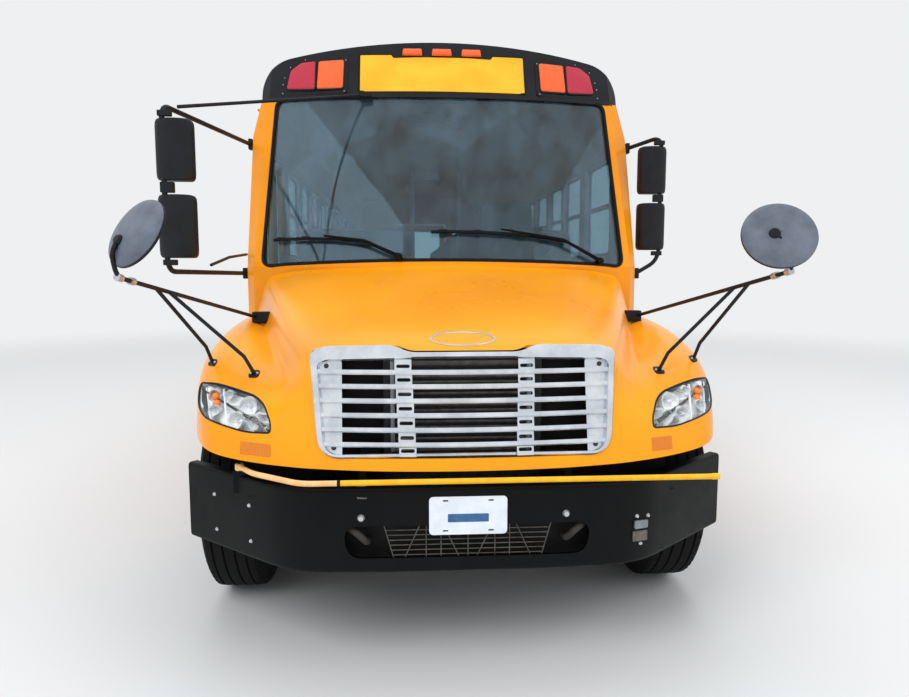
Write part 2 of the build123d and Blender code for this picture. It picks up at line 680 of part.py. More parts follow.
step_front = at(DOOR_FRONT_STATION)
step_rear = at(DOOR_REAR_STATION)
with BuildPart() as floor:
    floor_front = firewall_y + WALL + SEAT_GAP
    inside = BODY_HALF - WALL - SEAT_GAP
    block((-inside, inside), (floor_front, wall_rear_y - SEAT_GAP), (FLOOR_TOP - FLOOR_THICKNESS, FLOOR_TOP))
    for sill in range(SILL_COUNT):
        middle = at(WINDOW_FIRST_STATION + sill * WINDOW_PITCH)
        if abs(middle - rear_axle_y) > ARCH_RADIUS + SILL_WIDTH:
            block((-inside, inside), (middle - SILL_WIDTH / 2, middle + SILL_WIDTH / 2),
                  (RAIL_TOP, FLOOR_TOP - FLOOR_THICKNESS))
    for side in (-1, 1):
        with BuildSketch(alongside(side * BODY_HALF)):
            with Locations((rear_axle_y, TYRE_RADIUS)):
                Circle(ARCH_RADIUS + SEAT_GAP)
        extrude(amount=-side * (BODY_HALF - STEP_INNER_X + SEAT_GAP), mode=Mode.SUBTRACT)
    cut_block((-BODY_HALF, -STEP_INNER_X + STEP_PLATE + SEAT_GAP),
              (step_front - SEAT_GAP, step_rear + SEAT_GAP), (SKIRT_Z, FLOOR_TOP + WALL))
save("floor", floor)

# Wheel housings and entrance steps, let into the floor
with BuildPart() as floor_wells:
    for side in (-1, 1):
        with BuildSketch(alongside(side * inside)):
            with Locations((rear_axle_y, TYRE_RADIUS)):
                Circle(ARCH_RADIUS)
        extrude(amount=-side * (inside - STEP_INNER_X))
    for side in (-1, 1):
        with BuildSketch(alongside(side * BODY_HALF)):
            with Locations((rear_axle_y, TYRE_RADIUS)):
                Circle(ARCH_RADIUS - STEP_PLATE)
        extrude(amount=-side * (BODY_HALF - STEP_INNER_X - STEP_PLATE), mode=Mode.SUBTRACT)
    cut_block((-BODY_HALF, BODY_HALF), (rear_axle_y - ARCH_RADIUS, rear_axle_y + ARCH_RADIUS),
              (-SKIRT_Z, RAIL_TOP))
    rise = (FLOOR_TOP - STEP_BOTTOM) / STEP_COUNT
    stair_outer = BODY_HALF - LEAF_THICKNESS - RUN_GAP
    tread = (stair_outer - STEP_INNER_X) / STEP_COUNT
    with BuildSketch(across(step_front)):
        with BuildLine():
            corners = []
            for step in range(STEP_COUNT):
                x = -STEP_INNER_X - step * tread - STEP_PLATE * (step > 0)
                corners.append((x, FLOOR_TOP - step * rise))
                corners.append((x, FLOOR_TOP - (step + 1) * rise))
            corners.append((-stair_outer, STEP_BOTTOM))
            corners.append((-stair_outer, STEP_BOTTOM - STEP_PLATE))
            corners.append((-STEP_INNER_X + STEP_PLATE, STEP_BOTTOM - STEP_PLATE))
            corners.append((-STEP_INNER_X + STEP_PLATE, FLOOR_TOP))
            Polyline(*corners, close=True)
        make_face()
    extrude(amount=step_front - step_rear)
save("floor_wells", floor_wells)

# Glass in the side and rear openings
with BuildPart() as windows:
    for side in (-1, 1):
        outer = side * (BODY_HALF - GLASS_INSET)
        with BuildSketch(alongside(outer)):
            for centre, width in window_places(side):
                with Locations((centre, (WINDOW_SILL + WINDOW_HEAD) / 2)):
                    RectangleRounded(width - 2 * SEAT_GAP, WINDOW_HEAD - WINDOW_SILL - 2 * SEAT_GAP,
                                     WINDOW_RADIUS - SEAT_GAP)
        extrude(amount=-side * GLASS_THICKNESS)
    with BuildSketch(across(REAR_WALL_Y - GLASS_INSET)):
        with Locations((-REAR_WINDOW_X, REAR_WINDOW_Z), (REAR_WINDOW_X, REAR_WINDOW_Z)):
            RectangleRounded(REAR_WINDOW_WIDTH - 2 * SEAT_GAP, REAR_WINDOW_HEIGHT - 2 * SEAT_GAP,
                             WINDOW_RADIUS - SEAT_GAP)
    extrude(amount=GLASS_THICKNESS)
save("windows", windows)

with BuildPart() as rub_rails:
    for side in (-1, 1):
        for height in RAIL_HEIGHTS:
            start = at(DOOR_REAR_STATION + 60) if side < 0 else at(FRAME_BACK_STATION + 20)
            spans = [(start, wall_rear_y - 40)]
            if height < TYRE_RADIUS + ARCH_RADIUS:
                reach = (ARCH_RADIUS ** 2 - max(0, height - RAIL_WIDTH / 2 - TYRE_RADIUS) ** 2) ** 0.5 + 30
                spans = [(start, rear_axle_y - reach), (rear_axle_y + reach, wall_rear_y - 40)]
            for low, high in spans:
                skin = side * (BODY_HALF + SEAT_GAP)
                block((skin, skin + side * RAIL_PROUD), (low, high),
                      (height - RAIL_WIDTH / 2, height + RAIL_WIDTH / 2))
save("rub_rails", rub_rails)

# Chassis
with BuildPart() as chassis_frame:
    rail_front = at(RAIL_FRONT_STATION)
    rail_rear = wall_rear_y - SEAT_GAP
    for side in (-1, 1):
        block((side * RAIL_OUTER_X, side * (RAIL_OUTER_X - RAIL_FLANGE)), (rail_front, rail_rear),
              (RAIL_BOTTOM, RAIL_TOP))
        cut_block((side * (RAIL_OUTER_X - RAIL_WEB), side * (RAIL_OUTER_X - RAIL_FLANGE - 5)),
                  (rail_front - 5, rail_rear + 5), (RAIL_BOTTOM + RAIL_WEB, RAIL_TOP - RAIL_WEB))
    for station in CROSS_STATIONS:
        block((-RAIL_OUTER_X + RAIL_WEB, RAIL_OUTER_X - RAIL_WEB), (at(station), at(station) + CROSS_WIDTH),
              (RAIL_TOP - CROSS_HEIGHT, RAIL_TOP - RAIL_WEB))
    block((-RAIL_OUTER_X, RAIL_OUTER_X), (rail_front - 30, rail_front + 30), (RAIL_BOTTOM, RAIL_BOTTOM + 90))
    bracket_rear = rail_front + 90
    for side in (-1, 1):
        with BuildSketch(alongside(side * HOOD_PIVOT_X)):
            with BuildLine():
                pivot = at(HOOD_PIVOT_STATION)
                Polyline((pivot - 14, HOOD_PIVOT_Z + 14), (pivot + 22, HOOD_PIVOT_Z + 14),
                         (bracket_rear, RAIL_TOP), (bracket_rear, RAIL_BOTTOM + 40),
                         (pivot + 40, RAIL_BOTTOM + 40), (pivot - 14, HOOD_PIVOT_Z - 14), close=True)
            make_face()
        extrude(amount=side * (RAIL_OUTER_X - HOOD_PIVOT_X))
        with BuildSketch(alongside(side * (HOOD_PIVOT_X - HOOD_EAR - 2))):
            with Locations((at(HOOD_PIVOT_STATION), HOOD_PIVOT_Z)):
                Circle(HOOD_PIN_RADIUS)
        extrude(amount=side * (HOOD_EAR + 4))
save("chassis_frame", chassis_frame)

with BuildPart() as engine:
    for width, length, height in (ENGINE_BLOCK, GEARBOX_BLOCK):
        block(width, (at(length[0]), at(length[1])), height)
    inner = RAIL_OUTER_X - RAIL_WEB - SEAT_GAP
    block((-inner, inner), (at(ENGINE_MOUNT[0][0]), at(ENGINE_MOUNT[0][1])), ENGINE_MOUNT[1])
save("engine", engine)

with BuildPart() as radiator:
    width, length, height = RADIATOR_BLOCK
    block(width, (at(length[0]), at(length[1])), height)
    block((-inner, inner), (at(RADIATOR_MOUNT[0][0]), at(RADIATOR_MOUNT[0][1])), RADIATOR_MOUNT[1])
save("radiator", radiator)

# Front axle, steering knuckles and tie rod
with BuildPart() as front_axle:
    with BuildSketch(across(axle_y - 50)):
        with BuildLine():
            top, low = AXLE_EYE_TOP, AXLE_EYE_LOW
            Polyline((-KINGPIN_X, top), (-KINGPIN_X, low), (-KINGPIN_X + 70, low), (-700, 400), (700, 400),
                     (KINGPIN_X - 70, low), (KINGPIN_X, low), (KINGPIN_X, top), (700, 490), (-700, 490),
                     close=True)
        make_face()
    extrude(amount=-100)
    for side in (-1, 1):
        with BuildSketch(Plane.XY.offset(AXLE_EYE_LOW)):
            with Locations((side * KINGPIN_X, axle_y)):
                Circle(AXLE_EYE_RADIUS)
        extrude(amount=AXLE_EYE_TOP - AXLE_EYE_LOW)
        with BuildSketch(Plane.XY.offset(AXLE_EYE_LOW - 10)):
            with Locations((side * KINGPIN_X, axle_y)):
                Circle(KINGPIN_RADIUS + BEARING_GAP)
        extrude(amount=AXLE_EYE_TOP - AXLE_EYE_LOW + 20, mode=Mode.SUBTRACT)
        spring_x = side * FRONT_SPRING_X
        with BuildSketch(alongside(spring_x - SPRING_WIDTH / 2)):
            with BuildLine():
                arch = ThreePointArc((axle_y - 700, 600), (axle_y, 500), (axle_y + 760, 600))
                Polyline(arch @ 1, (axle_y + 760, 570), (axle_y + 300, 505), (axle_y + 150, 460),
                         (axle_y - 150, 460), (axle_y - 300, 505), (axle_y - 700, 570), arch @ 0)
            make_face()
        extrude(amount=SPRING_WIDTH)
        for end in (axle_y - 700, axle_y + 760):
            block((spring_x - 30, spring_x + 30), (end - 40, end + 40), (560, RAIL_BOTTOM))
save("front_axle", front_axle)

def knuckle(side):
    """Yoke, kingpin, spindle and steering arm of one front corner."""
    with BuildPart() as piece:
        with BuildSketch(Plane.XY.offset(KNUCKLE_LOW)):
            with Locations((side * KINGPIN_X, axle_y)):
                Circle(KINGPIN_RADIUS)
        extrude(amount=KNUCKLE_TOP - KNUCKLE_LOW - 2)
        for low, high in ((KNUCKLE_LOW, AXLE_EYE_LOW - SEAT_GAP), (AXLE_EYE_TOP + SEAT_GAP, KNUCKLE_TOP)):
            with BuildSketch(Plane.XY.offset(low)):
                with Locations((side * KINGPIN_X, axle_y)):
                    Circle(KNUCKLE_RADIUS)
                with Locations((side * (KINGPIN_X + 40), axle_y)):
                    Rectangle(80, 90)
            extrude(amount=high - low)
        block((side * (KINGPIN_X + 56), side * (KINGPIN_X + 82)), (axle_y - 45, axle_y + 45),
              (KNUCKLE_LOW, KNUCKLE_TOP))
        with BuildSketch(alongside(side * (KINGPIN_X + 70))):
            with Locations((axle_y, TYRE_RADIUS)):
                Circle(SPINDLE_RADIUS)
        extrude(amount=side * 150)
        with BuildSketch(Plane.XY.offset(TIE_ROD_Z + BALL_BOSS + 4)):
            with Locations((side * KINGPIN_X, axle_y + STEER_ARM / 2)):
                Rectangle(44, STEER_ARM)
            with Locations((side * KINGPIN_X, axle_y + STEER_ARM)):
                Circle(22)
        extrude(amount=16)
        with BuildSketch(Plane.XY.offset(TIE_ROD_Z - BALL_BOSS - 8)):
            with Locations((side * KINGPIN_X, axle_y + STEER_ARM)):
                Circle(BALL_PIN_RADIUS)
        extrude(amount=2 * BALL_BOSS + 14)
    return piece


knuckle_left = knuckle(1)
save("knuckle_left", knuckle_left)
knuckle_right = knuckle(-1)
save("knuckle_right", knuckle_right)

with BuildPart() as tie_rod:
    with BuildSketch(alongside(-KINGPIN_X)):
        with Locations((axle_y + STEER_ARM, TIE_ROD_Z)):
            Circle(TIE_ROD_RADIUS)
    extrude(amount=2 * KINGPIN_X)
    for side in (-1, 1):
        with BuildSketch(Plane.XY.offset(TIE_ROD_Z - BALL_BOSS)):
            with Locations((side * KINGPIN_X, axle_y + STEER_ARM)):
                Circle(BALL_BOSS_RADIUS)
        extrude(amount=2 * BALL_BOSS)
        with BuildSketch(Plane.XY.offset(TIE_ROD_Z - BALL_BOSS)):
            with Locations((side * KINGPIN_X, axle_y + STEER_ARM)):
                Circle(BALL_PIN_RADIUS + SEAT_GAP)
        extrude(amount=2 * BALL_BOSS, mode=Mode.SUBTRACT)
save("tie_rod", tie_rod)

with BuildPart() as rear_axle:
    with BuildSketch(alongside(-REAR_HUB_X - 90)):
        with Locations((rear_axle_y, TYRE_RADIUS)):
            Circle(SPINDLE_RADIUS)
    extrude(amount=2 * (REAR_HUB_X + 90))
    with BuildSketch(alongside(-REAR_HUB_X + 60)):
        with Locations((rear_axle_y, TYRE_RADIUS)):
            Circle(AXLE_TUBE_RADIUS)
    extrude(amount=2 * (REAR_HUB_X - 60))
    with Locations((0, rear_axle_y, TYRE_RADIUS)):
        Sphere(DIFFERENTIAL_RADIUS)
    shaft_front = at(GEARBOX_BLOCK[1][1]) + SEAT_GAP
    with BuildSketch(across(shaft_front)):
        with Locations((0, PROPSHAFT_Z)):
            Circle(SHAFT_RADIUS)
    extrude(amount=shaft_front - rear_axle_y)
    for side in (-1, 1):
        spring_x = side * (RAIL_OUTER_X + REAR_SPRING_OUT)
        with BuildSketch(alongside(spring_x - SPRING_WIDTH / 2)):
            with BuildLine():
                arch = ThreePointArc((rear_axle_y - 760, 690), (rear_axle_y, 610), (rear_axle_y + 760, 690))
                Polyline(arch @ 1, (rear_axle_y + 760, 650), (rear_axle_y + 320, 590),
                         (rear_axle_y + 150, 540), (rear_axle_y - 150, 540), (rear_axle_y - 320, 590),
                         (rear_axle_y - 760, 650), arch @ 0)
            make_face()
        extrude(amount=SPRING_WIDTH)
        for end in (rear_axle_y - 720, rear_axle_y + 720):
            inner = side * (RAIL_OUTER_X + SEAT_GAP)
            block((inner, inner + side * 100), (end - 40, end + 40), (660, 780))
save("rear_axle", rear_axle)


def wheel_plane(y):
    """Plane through a wheel axis at y; its sketch axes are X and the height above the axis."""
    return Plane(origin=(0, y, TYRE_RADIUS), x_dir=(1, 0, 0), z_dir=(0, -1, 0))


def ring(y, points):
    """Adds a ring about a wheel axis from (across, radius) points."""
    with BuildSketch(wheel_plane(y), mode=Mode.PRIVATE) as profile:
        with BuildLine():
            Polyline(*points, close=True)
        make_face()
    revolve(profile.sketch, axis=Axis((0, y, TYRE_RADIUS), (1, 0, 0)))


def tyres(y, centres):
    """The tyres of one hub, as hollow rings about the wheel axis."""
    half = TYRE_WIDTH / 2
    tread = half - 26
    lip = RIM_WIDTH / 2
    bead = RIM_RADIUS + SEAT_GAP
    side = TYRE_RADIUS - 125
    inner_lip = lip - TYRE_WALL
    right = [(tread - 30, TYRE_RADIUS), (tread, TYRE_RADIUS - 8), (half - 8, TYRE_RADIUS - 60), (half, side),
             (lip, bead), (inner_lip, bead), (half - TYRE_WALL, side),
             (tread - TYRE_WALL, TYRE_RADIUS - TREAD_THICKNESS)]
    left = [(-x, r) for x, r in reversed(right)]
    with BuildPart() as rings:
        for x in centres:
            ring(y, [(x + across_tyre, r) for across_tyre, r in right + left])
    return rings


def side_ring(y, side, points):
    """Adds a ring from (distance out, radius) points."""
    ring(y, [(side * x, r) for x, r in points])


def wheel(y, side, rims, hub, drum, nut_face):
    """Rims, discs, hub and brake drum of one hub."""
    lip = RIM_WIDTH / 2
    inner = RIM_RADIUS - RIM_THICKNESS
    root = RIM_RADIUS - RIM_THICKNESS / 2
    bore = SPINDLE_RADIUS + BEARING_GAP
    with BuildPart() as piece:
        for band, near, far, cone in rims:
            side_ring(y, side, [(band - lip, RIM_RADIUS), (band - lip, inner), (band + lip, inner),
                                (band + lip, RIM_RADIUS)])
            side_ring(y, side, [(near, DISC_PILOT - 30), (far, DISC_PILOT - 30), (far, DISC_KNEE),
                                (cone + 8, root), (cone - 8, root), (near, DISC_KNEE)])
        side_ring(y, side, [(hub[0], bore), (hub[1], bore), (hub[1], 0), (hub[2], 0), (hub[2], 66),
                            (hub[1], HUB_RADIUS), (hub[0], HUB_RADIUS)])
        inner_drum = drum[1] - DRUM_WALL
        side_ring(y, side, [(drum[0], DRUM_RADIUS - DRUM_WALL), (inner_drum, DRUM_RADIUS - DRUM_WALL),
                            (inner_drum, HUB_RADIUS - 4), (drum[1], HUB_RADIUS - 4), (drum[1], DRUM_RADIUS),
                            (drum[0], DRUM_RADIUS)])
        flange = rims[-1][1]
        side_ring(y, side, [(drum[1], HUB_RADIUS - 4), (flange, HUB_RADIUS - 4), (flange, FLANGE_RADIUS),
                            (drum[1], FLANGE_RADIUS)])
        holes = Plane(origin=(side * (drum[1] + 2), y, TYRE_RADIUS), x_dir=(0, 1, 0), z_dir=(side, 0, 0))
        with BuildSketch(holes):
            with PolarLocations(HAND_HOLE_CIRCLE, STUD_COUNT):
                Circle(HAND_HOLE_RADIUS)
        extrude(amount=rims[0][0] + lip - drum[1], mode=Mode.SUBTRACT)
        nuts = Plane(origin=(side * (nut_face - 2), y, TYRE_RADIUS), x_dir=(0, 1, 0), z_dir=(side, 0, 0))
        with BuildSketch(nuts):
            with PolarLocations(STUD_CIRCLE / 2, STUD_COUNT):
                RegularPolygon(NUT_RADIUS, 6)
        extrude(amount=28)
    return piece


for label, side in CORNERS:
    twin = FRONT_TRACK_HALF - DUAL_SPACING
    save("tyre_front_" + label, tyres(axle_y, (side * FRONT_TRACK_HALF,)))
    save("tyres_rear_" + label, tyres(rear_axle_y, (side * FRONT_TRACK_HALF, side * twin)))
    save("wheel_front_" + label, wheel(axle_y, side, FRONT_RIMS, *FRONT_HUB))
    save("wheel_rear_" + label, wheel(rear_axle_y, side, REAR_RIMS, *REAR_HUB))

# Hood
hood_outer = hood_volume(0)
hood_inner = hood_volume(HOOD_WALL)


def grille_face(grow):
    """Outline of the grille seen from the front, grown by an amount."""
    with BuildSketch(across(at(0)), mode=Mode.PRIVATE) as outline:
        with BuildLine():
            right = [(205, GRILLE_TOP - 26), (250, GRILLE_TOP + 4), (GRILLE_TOP_HALF - 30, GRILLE_TOP),
                     (GRILLE_TOP_HALF, GRILLE_TOP - 30), (GRILLE_BOTTOM_HALF, GRILLE_BOTTOM)]
            left = [(-x, z) for x, z in reversed(right)]
            Polyline(*right, *left, close=True)
        make_face()
        fillet(outline.vertices().group_by(Axis.Y)[0], GRILLE_CORNER)
        if grow:
            offset(amount=grow)
    return outline.sketch


def lamp_face(side, shrink):
    """Outline of one headlamp seen from the front, shrunk by an amount."""
    with BuildSketch(across(at(0)), mode=Mode.PRIVATE) as outline:
        with BuildLine():
            Polyline(*[(side * x, z) for x, z in LAMP_OUTLINE], close=True)
        make_face()
        fillet(outline.vertices(), 14)
        if shrink:
            offset(amount=-shrink)
    return outline.sketch


with BuildPart() as hood:
    add(hood_outer)
    add(hood_inner, mode=Mode.SUBTRACT)
    hood_rear_y = at(HOOD_REAR_STATION)
    for side in (-1, 1):
        with BuildSketch(alongside(side * ARCH_LINER_INNER_X)):
            with Locations((axle_y, TYRE_RADIUS)):
                Circle(ARCH_RADIUS + 6)
                Circle(ARCH_RADIUS - 2, mode=Mode.SUBTRACT)
        extrude(amount=side * (HOOD_HALF - HOOD_WALL - 8 - ARCH_LINER_INNER_X))
    with BuildSketch(alongside(-HOOD_HALF)):
        with Locations((axle_y, TYRE_RADIUS)):
            Circle(ARCH_RADIUS)
    extrude(amount=2 * HOOD_HALF, mode=Mode.SUBTRACT)
    split(bisect_by=Plane.XY.offset(HOOD_LIP_Z), keep=Keep.TOP)
    with BuildSketch(Plane.XY.offset(HOOD_LIP_Z - 5)):
        with BuildLine():
            gap = HOOD_REAR_GAP
            mid = at(SCREEN_BASE_MID) - gap
            turn = at(SCREEN_BASE_CORNER) - gap
            far = hood_rear_y + 300
            ThreePointArc((-SCREEN_BASE_HALF, turn), (0, mid), (SCREEN_BASE_HALF, turn))
            Polyline((SCREEN_BASE_HALF, turn), (HOOD_HALF + 20, turn + PILLAR_DEPTH), (HOOD_HALF + 20, far),
                     (-HOOD_HALF - 20, far), (-HOOD_HALF - 20, turn + PILLAR_DEPTH),
                     (-SCREEN_BASE_HALF, turn))
        make_face()
    extrude(amount=1200, mode=Mode.SUBTRACT)
    extrude(grille_face(0), amount=-GRILLE_REACH, mode=Mode.SUBTRACT)
    for side in (-1, 1):
        extrude(lamp_face(side, 0), amount=-LAMP_REACH, mode=Mode.SUBTRACT)
    ear_y = at(HOOD_PIVOT_STATION)
    for side in (-1, 1):
        ear_x = side * (HOOD_PIVOT_X - SEAT_GAP - HOOD_EAR)
        with BuildSketch(alongside(ear_x)):
            with Locations((ear_y, HOOD_PIVOT_Z)):
                Circle(20)
            with Locations((ear_y - 18, HOOD_PIVOT_Z + 18)):
                Rectangle(56, 36)
            with Locations((ear_y, HOOD_PIVOT_Z)):
                Circle(HOOD_PIN_RADIUS + SEAT_GAP, mode=Mode.SUBTRACT)
        extrude(amount=side * HOOD_EAR)
save("hood", hood)


def nose_band(proud, depth):
    """A skin that follows the hood's nose, from proud of it to a depth behind it."""
    with BuildPart() as band:
        low = HOOD_LIP_Z - 20
        high = HOOD_LIP_Z + 600
        loft([hood_plan(low, -proud), hood_plan(high, -proud)], ruled=True)
        loft([hood_plan(low, depth), hood_plan(high, depth)], ruled=True, mode=Mode.SUBTRACT)
        split(bisect_by=across(at(GRILLE_REACH)), keep=Keep.TOP)
    return band.part


grille_skin = nose_band(GRILLE_PROUD, GRILLE_DEPTH)
slat_skin = nose_band(0, GRILLE_DEPTH - 4)
with BuildPart() as surround:
    add(grille_skin)
    extrude(grille_face(-SEAT_GAP), amount=-GRILLE_REACH, mode=Mode.INTERSECT)
    extrude(grille_face(-GRILLE_BORDER), amount=-GRILLE_REACH, mode=Mode.SUBTRACT)
with BuildSketch(across(at(0)), mode=Mode.PRIVATE) as slats:
    opening = GRILLE_TOP - GRILLE_BOTTOM - 2 * GRILLE_BORDER - 20
    for slat in range(SLAT_COUNT):
        z = GRILLE_BOTTOM + GRILLE_BORDER + (slat + 1) * opening / (SLAT_COUNT + 1)
        with Locations((0, z)):
            Rectangle(2 * GRILLE_TOP_HALF, SLAT_HEIGHT)
    grille_middle = (GRILLE_TOP + GRILLE_BOTTOM) / 2
    with Locations((-LADDER_X, grille_middle), (LADDER_X, grille_middle)):
        Rectangle(LADDER_WIDTH, GRILLE_TOP - GRILLE_BOTTOM)
    for side in (-1, 1):
        with Locations((side * END_PLATE_X, grille_middle)):
            Rectangle(END_PLATE_WIDTH, GRILLE_TOP - GRILLE_BOTTOM)
with BuildPart() as bars:
    add(slat_skin)
    extrude(slats.sketch, amount=-GRILLE_REACH, mode=Mode.INTERSECT)
    extrude(grille_face(-GRILLE_BORDER / 2), amount=-GRILLE_REACH, mode=Mode.INTERSECT)
with BuildPart() as grille:
    add(surround.part)
    add(bars.part)
save("grille", grille)

with BuildPart() as lamp_prisms:
    for side in (-1, 1):
        extrude(lamp_face(side, SEAT_GAP), amount=-LAMP_REACH)
with BuildPart() as headlamps:
    add(hood_outer)
    add(hood_volume(LAMP_DEPTH), mode=Mode.SUBTRACT)
    add(lamp_prisms.part, mode=Mode.INTERSECT)
save("headlamps", headlamps)

# Front and rear bumpers
def bumper_path():
    """Plan line of the front bumper's face."""
    half = [(BUMPER_END_X, at(BUMPER_END_STATION)), (BUMPER_BEND_X, at(BUMPER_BEND_STATION)),
            (BUMPER_FLAT_X, at(0))]
    return [(-x, y) for x, y in half] + half[::-1]


with BuildPart() as bumpers:
    with BuildLine(Plane.XY.offset(BUMPER_BOTTOM)) as face_line:
        points = bumper_path()
        bends = [BUMPER_BEND_RADIUS, BUMPER_EASE_RADIUS, BUMPER_EASE_RADIUS, BUMPER_BEND_RADIUS]
        FilletPolyline(*points, radius=bends)
    start = Plane(origin=face_line.line @ 0, x_dir=(0, 0, 1), z_dir=face_line.line % 0)
    height = BUMPER_TOP - BUMPER_BOTTOM
    with BuildSketch(start):
        with BuildLine():
            t = BUMPER_PLATE
            d = BUMPER_DEPTH
            Polyline((0, 0), (height, 0), (height, -d), (height - t, -d), (height - t, -t), (t, -t), (t, -d),
                     (0, -d), close=True)
        make_face()
    sweep(path=face_line.line)
    for x in (-RAIL_OUTER_X + 30, RAIL_OUTER_X - 30):
        block((x - 30, x + 30), (at(BUMPER_PLATE), at(RAIL_FRONT_STATION) - 30 - SEAT_GAP),
              (RAIL_BOTTOM + 10, RAIL_BOTTOM + 80))
    through = (at(-WALL), at(BUMPER_DEPTH - 2 * BUMPER_PLATE))
    cut_block((-AIR_WAY_HALF, AIR_WAY_HALF), through, AIR_WAY_HEIGHTS)
    for side in (-1, 1):
        cut_block((side * TOW_WAY[0], side * TOW_WAY[1]), through, TOW_WAY_HEIGHTS)
    arm_y = at(ARM_PIVOT_STATION)
    block((ARM_PIVOT_X - 28, ARM_PIVOT_X + 28), (arm_y - 6, arm_y + 36),
          (BUMPER_TOP - 4, ARM_Z - 15 - SEAT_GAP))
    with Locations((ARM_PIVOT_X, arm_y, ARM_Z - 1)):
        Cylinder(ARM_PIN_RADIUS, 32)
    block((-BODY_HALF + 20, BODY_HALF - 20), (REAR_Y - REAR_BUMPER_DEPTH + SEAT_GAP, REAR_Y),
          (REAR_BUMPER_BOTTOM, REAR_BUMPER_TOP))
save("bumpers", bumpers)

with BuildPart() as number_plate:
    block((-PLATE_HALF, PLATE_HALF), (at(-PLATE_THICKNESS) - SEAT_GAP, at(0) - SEAT_GAP), PLATE_HEIGHTS)
save("number_plate", number_plate)

with BuildPart() as crossing_arm:
    with BuildLine() as rod:
        FilletPolyline((ARM_PIVOT_X, at(ARM_PIVOT_STATION), ARM_Z), (-850, at(125), ARM_Z),
                       (-640, at(-ARM_OFFSET), ARM_Z), (ARM_TIP_X, at(-ARM_OFFSET), ARM_Z), radius=(60, 120))
    with BuildSketch(Plane(origin=rod.line @ 0, z_dir=rod.line % 0)):
        Circle(ARM_DIAMETER / 2)
    sweep(path=rod.line)
    with Locations((ARM_PIVOT_X, at(ARM_PIVOT_STATION), ARM_Z - 1)):
        Cylinder(ARM_HUB_RADIUS, 28)
        Cylinder(ARM_PIN_RADIUS + SEAT_GAP, 60, mode=Mode.SUBTRACT)
save("crossing_arm", crossing_arm)


def swept_tube(points, bends, radius):
    """Adds a round tube along runs joined by arcs."""
    with BuildLine(mode=Mode.PRIVATE) as route:
        FilletPolyline(*points, radius=bends)
    with BuildSketch(Plane(origin=route.line @ 0, z_dir=route.line % 0), mode=Mode.PRIVATE) as section:
        Circle(radius)
    sweep(section.sketch, path=route.line)


def swept_run(start, end, radius):
    """Adds a straight round tube between two points."""
    with BuildSketch(Plane(origin=start, z_dir=end - start), mode=Mode.PRIVATE) as section:
        Circle(radius)
    extrude(section.sketch, amount=(end - start).length)


with BuildPart() as side_mirrors:
    for side, station, upper, lower in MIRROR_FRAMES:
        y = at(station)
        tube_x = side * (MIRROR_REACH - MIRROR_HEAD_WIDTH / 2)
        foot_x = side * (BODY_HALF + 22)
        top = upper[0] + 62
        low = lower[1] - 66
        upper_foot = (foot_x, at(MIRROR_FOOT_TOP[0]), MIRROR_FOOT_TOP[1])
        lower_foot = (foot_x, at(MIRROR_FOOT_LOW[0]), MIRROR_FOOT_LOW[1])
        swept_tube([upper_foot, (tube_x, y, top), (tube_x, y, low), lower_foot], (60, 60), MIRROR_TUBE)
        for foot in (upper_foot, lower_foot):
            inner = side * (BODY_HALF + SEAT_GAP)
            block((inner, side * (BODY_HALF + MIRROR_FOOT)), (foot[1] - 26, foot[1] + 26),
                  (foot[2] - 26, foot[2] + 26))
        for high, deep in (upper, lower):
            with BuildSketch(Plane.XY.offset(deep)) as head:
                with Locations((tube_x, y)):
                    RectangleRounded(MIRROR_HEAD_WIDTH, MIRROR_HEAD_DEPTH, 36)
            extrude(amount=high - deep)
save("side_mirrors", side_mirrors)

with BuildPart() as mirror_frames:
    for side, facing, boss, high_bend, low_bend, end in CROSSVIEW:
        centre = Vector(side * CROSSVIEW_CENTRE[0], at(CROSSVIEW_CENTRE[1]), CROSSVIEW_CENTRE[2])
        bow = Plane(origin=centre, z_dir=facing)
        with BuildSketch(Plane(origin=centre, x_dir=bow.x_dir, z_dir=bow.y_dir), mode=Mode.PRIVATE) as shell:
            with BuildLine():
                rim = CROSSVIEW_RADIUS
                crown = (rim * 0.2, CROSSVIEW_DEPTH)
                Polyline(crown, (0, CROSSVIEW_DEPTH), (0, 0), (rim, 0), (rim, CROSSVIEW_TUBE))
                ThreePointArc((rim, CROSSVIEW_TUBE), (rim * 0.66, CROSSVIEW_DEPTH * 0.74), crown)
            make_face()
        revolve(shell.sketch, axis=Axis(centre, bow.z_dir * -1))
        drop = (facing[0] * boss[0] + facing[2] * boss[1]) / facing[1]
        hub = centre + Vector(boss[0], -drop, boss[1])
        with BuildSketch(Plane(origin=hub, z_dir=facing), mode=Mode.PRIVATE) as stub:
            Circle(20)
        extrude(stub.sketch, amount=-CROSSVIEW_DEPTH - 8)
        start = hub - Vector(*facing) * CROSSVIEW_DEPTH
        bends = [Vector(x, at(station), z) for x, station, z in (high_bend, low_bend, end)]
        swept_tube([start] + bends, (14, 26), CROSSVIEW_TUBE)
        for share, foot in CROSSVIEW_LEGS:
            top = bends[1] + (bends[2] - bends[1]) * share
            low = Vector(side * foot[0], at(foot[1]), foot[2])
            swept_run(top, low, CROSSVIEW_TUBE)
            with Locations((low.X, low.Y, low.Z - 30)):
                Cylinder(18, 80)
        block((side * 940, side * 1072), (at(1216), at(1272)), (1288, 1394))
hood_clearance = hood_volume(-SEAT_GAP)
trimmed_frames = [frame - hood_clearance for frame in mirror_frames.solids()]
with BuildPart() as crossview_mirrors:
    add(trimmed_frames)
save("crossview_mirrors", crossview_mirrors)

